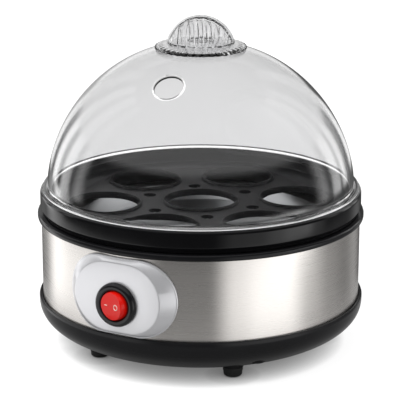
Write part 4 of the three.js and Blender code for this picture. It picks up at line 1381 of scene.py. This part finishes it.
class EGGBOILER_OT_tray(PieceOperator, bpy.types.Operator):
    """Model the black tray and its seven seats"""

    bl_idname = "egg_boiler.tray"
    bl_label = "Tray"
    make = staticmethod(make_tray)


class EGGBOILER_OT_dome(PieceOperator, bpy.types.Operator):
    """Model the clear dome with its flange and steam hole"""

    bl_idname = "egg_boiler.dome"
    bl_label = "Dome"
    make = staticmethod(make_dome)


class EGGBOILER_OT_knob(PieceOperator, bpy.types.Operator):
    """Model the clear fluted grip"""

    bl_idname = "egg_boiler.knob"
    bl_label = "Knob"
    make = staticmethod(make_knob)


class EGGBOILER_OT_gland(PieceOperator, bpy.types.Operator):
    """Model the rubber gland at the back"""

    bl_idname = "egg_boiler.gland"
    bl_label = "Gland"
    make = staticmethod(make_gland)


class EGGBOILER_OT_inner(bpy.types.Operator):
    """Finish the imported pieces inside"""

    bl_idname = "egg_boiler.inner"
    bl_label = "Inner Pieces"
    bl_options = {"REGISTER", "UNDO"}

    def execute(self, context):
        finish_inner_nodes(finishes(context))
        return {"FINISHED"}


PIECES = [
    EGGBOILER_OT_stage,
    EGGBOILER_OT_bowl,
    EGGBOILER_OT_feet,
    EGGBOILER_OT_band,
    EGGBOILER_OT_top_ring,
    EGGBOILER_OT_plate,
    EGGBOILER_OT_panel,
    EGGBOILER_OT_bezel,
    EGGBOILER_OT_rocker,
    EGGBOILER_OT_tray,
    EGGBOILER_OT_dome,
    EGGBOILER_OT_knob,
    EGGBOILER_OT_gland,
    EGGBOILER_OT_inner,
]


class VIEW3D_PT_egg_boiler(bpy.types.Panel):
    """Sizes, colours and pieces of the egg boiler"""

    bl_label = "Egg Boiler"
    bl_space_type = "VIEW_3D"
    bl_region_type = "UI"
    bl_category = "Egg Boiler"

    def draw(self, context):
        layout = self.layout
        for group in (context.scene.egg_boiler_sizes, context.scene.egg_boiler_colours):
            box = layout.box()
            for key in type(group).__annotations__:
                box.prop(group, key)
        for operator in PIECES:
            layout.operator(operator.bl_idname)


CLASSES = [EggBoilerSizes, EggBoilerColours, *PIECES, VIEW3D_PT_egg_boiler]


def register():
    for each in CLASSES:
        bpy.utils.register_class(each)
    bpy.types.Scene.egg_boiler_sizes = bpy.props.PointerProperty(type=EggBoilerSizes)
    bpy.types.Scene.egg_boiler_colours = bpy.props.PointerProperty(type=EggBoilerColours)


def unregister():
    del bpy.types.Scene.egg_boiler_sizes
    del bpy.types.Scene.egg_boiler_colours
    for each in reversed(CLASSES):
        bpy.utils.unregister_class(each)


def main():
    register()
    for operator in PIECES:
        group, name = operator.bl_idname.split(".")
        getattr(getattr(bpy.ops, group), name)()


if __name__ == "__main__":
    main()
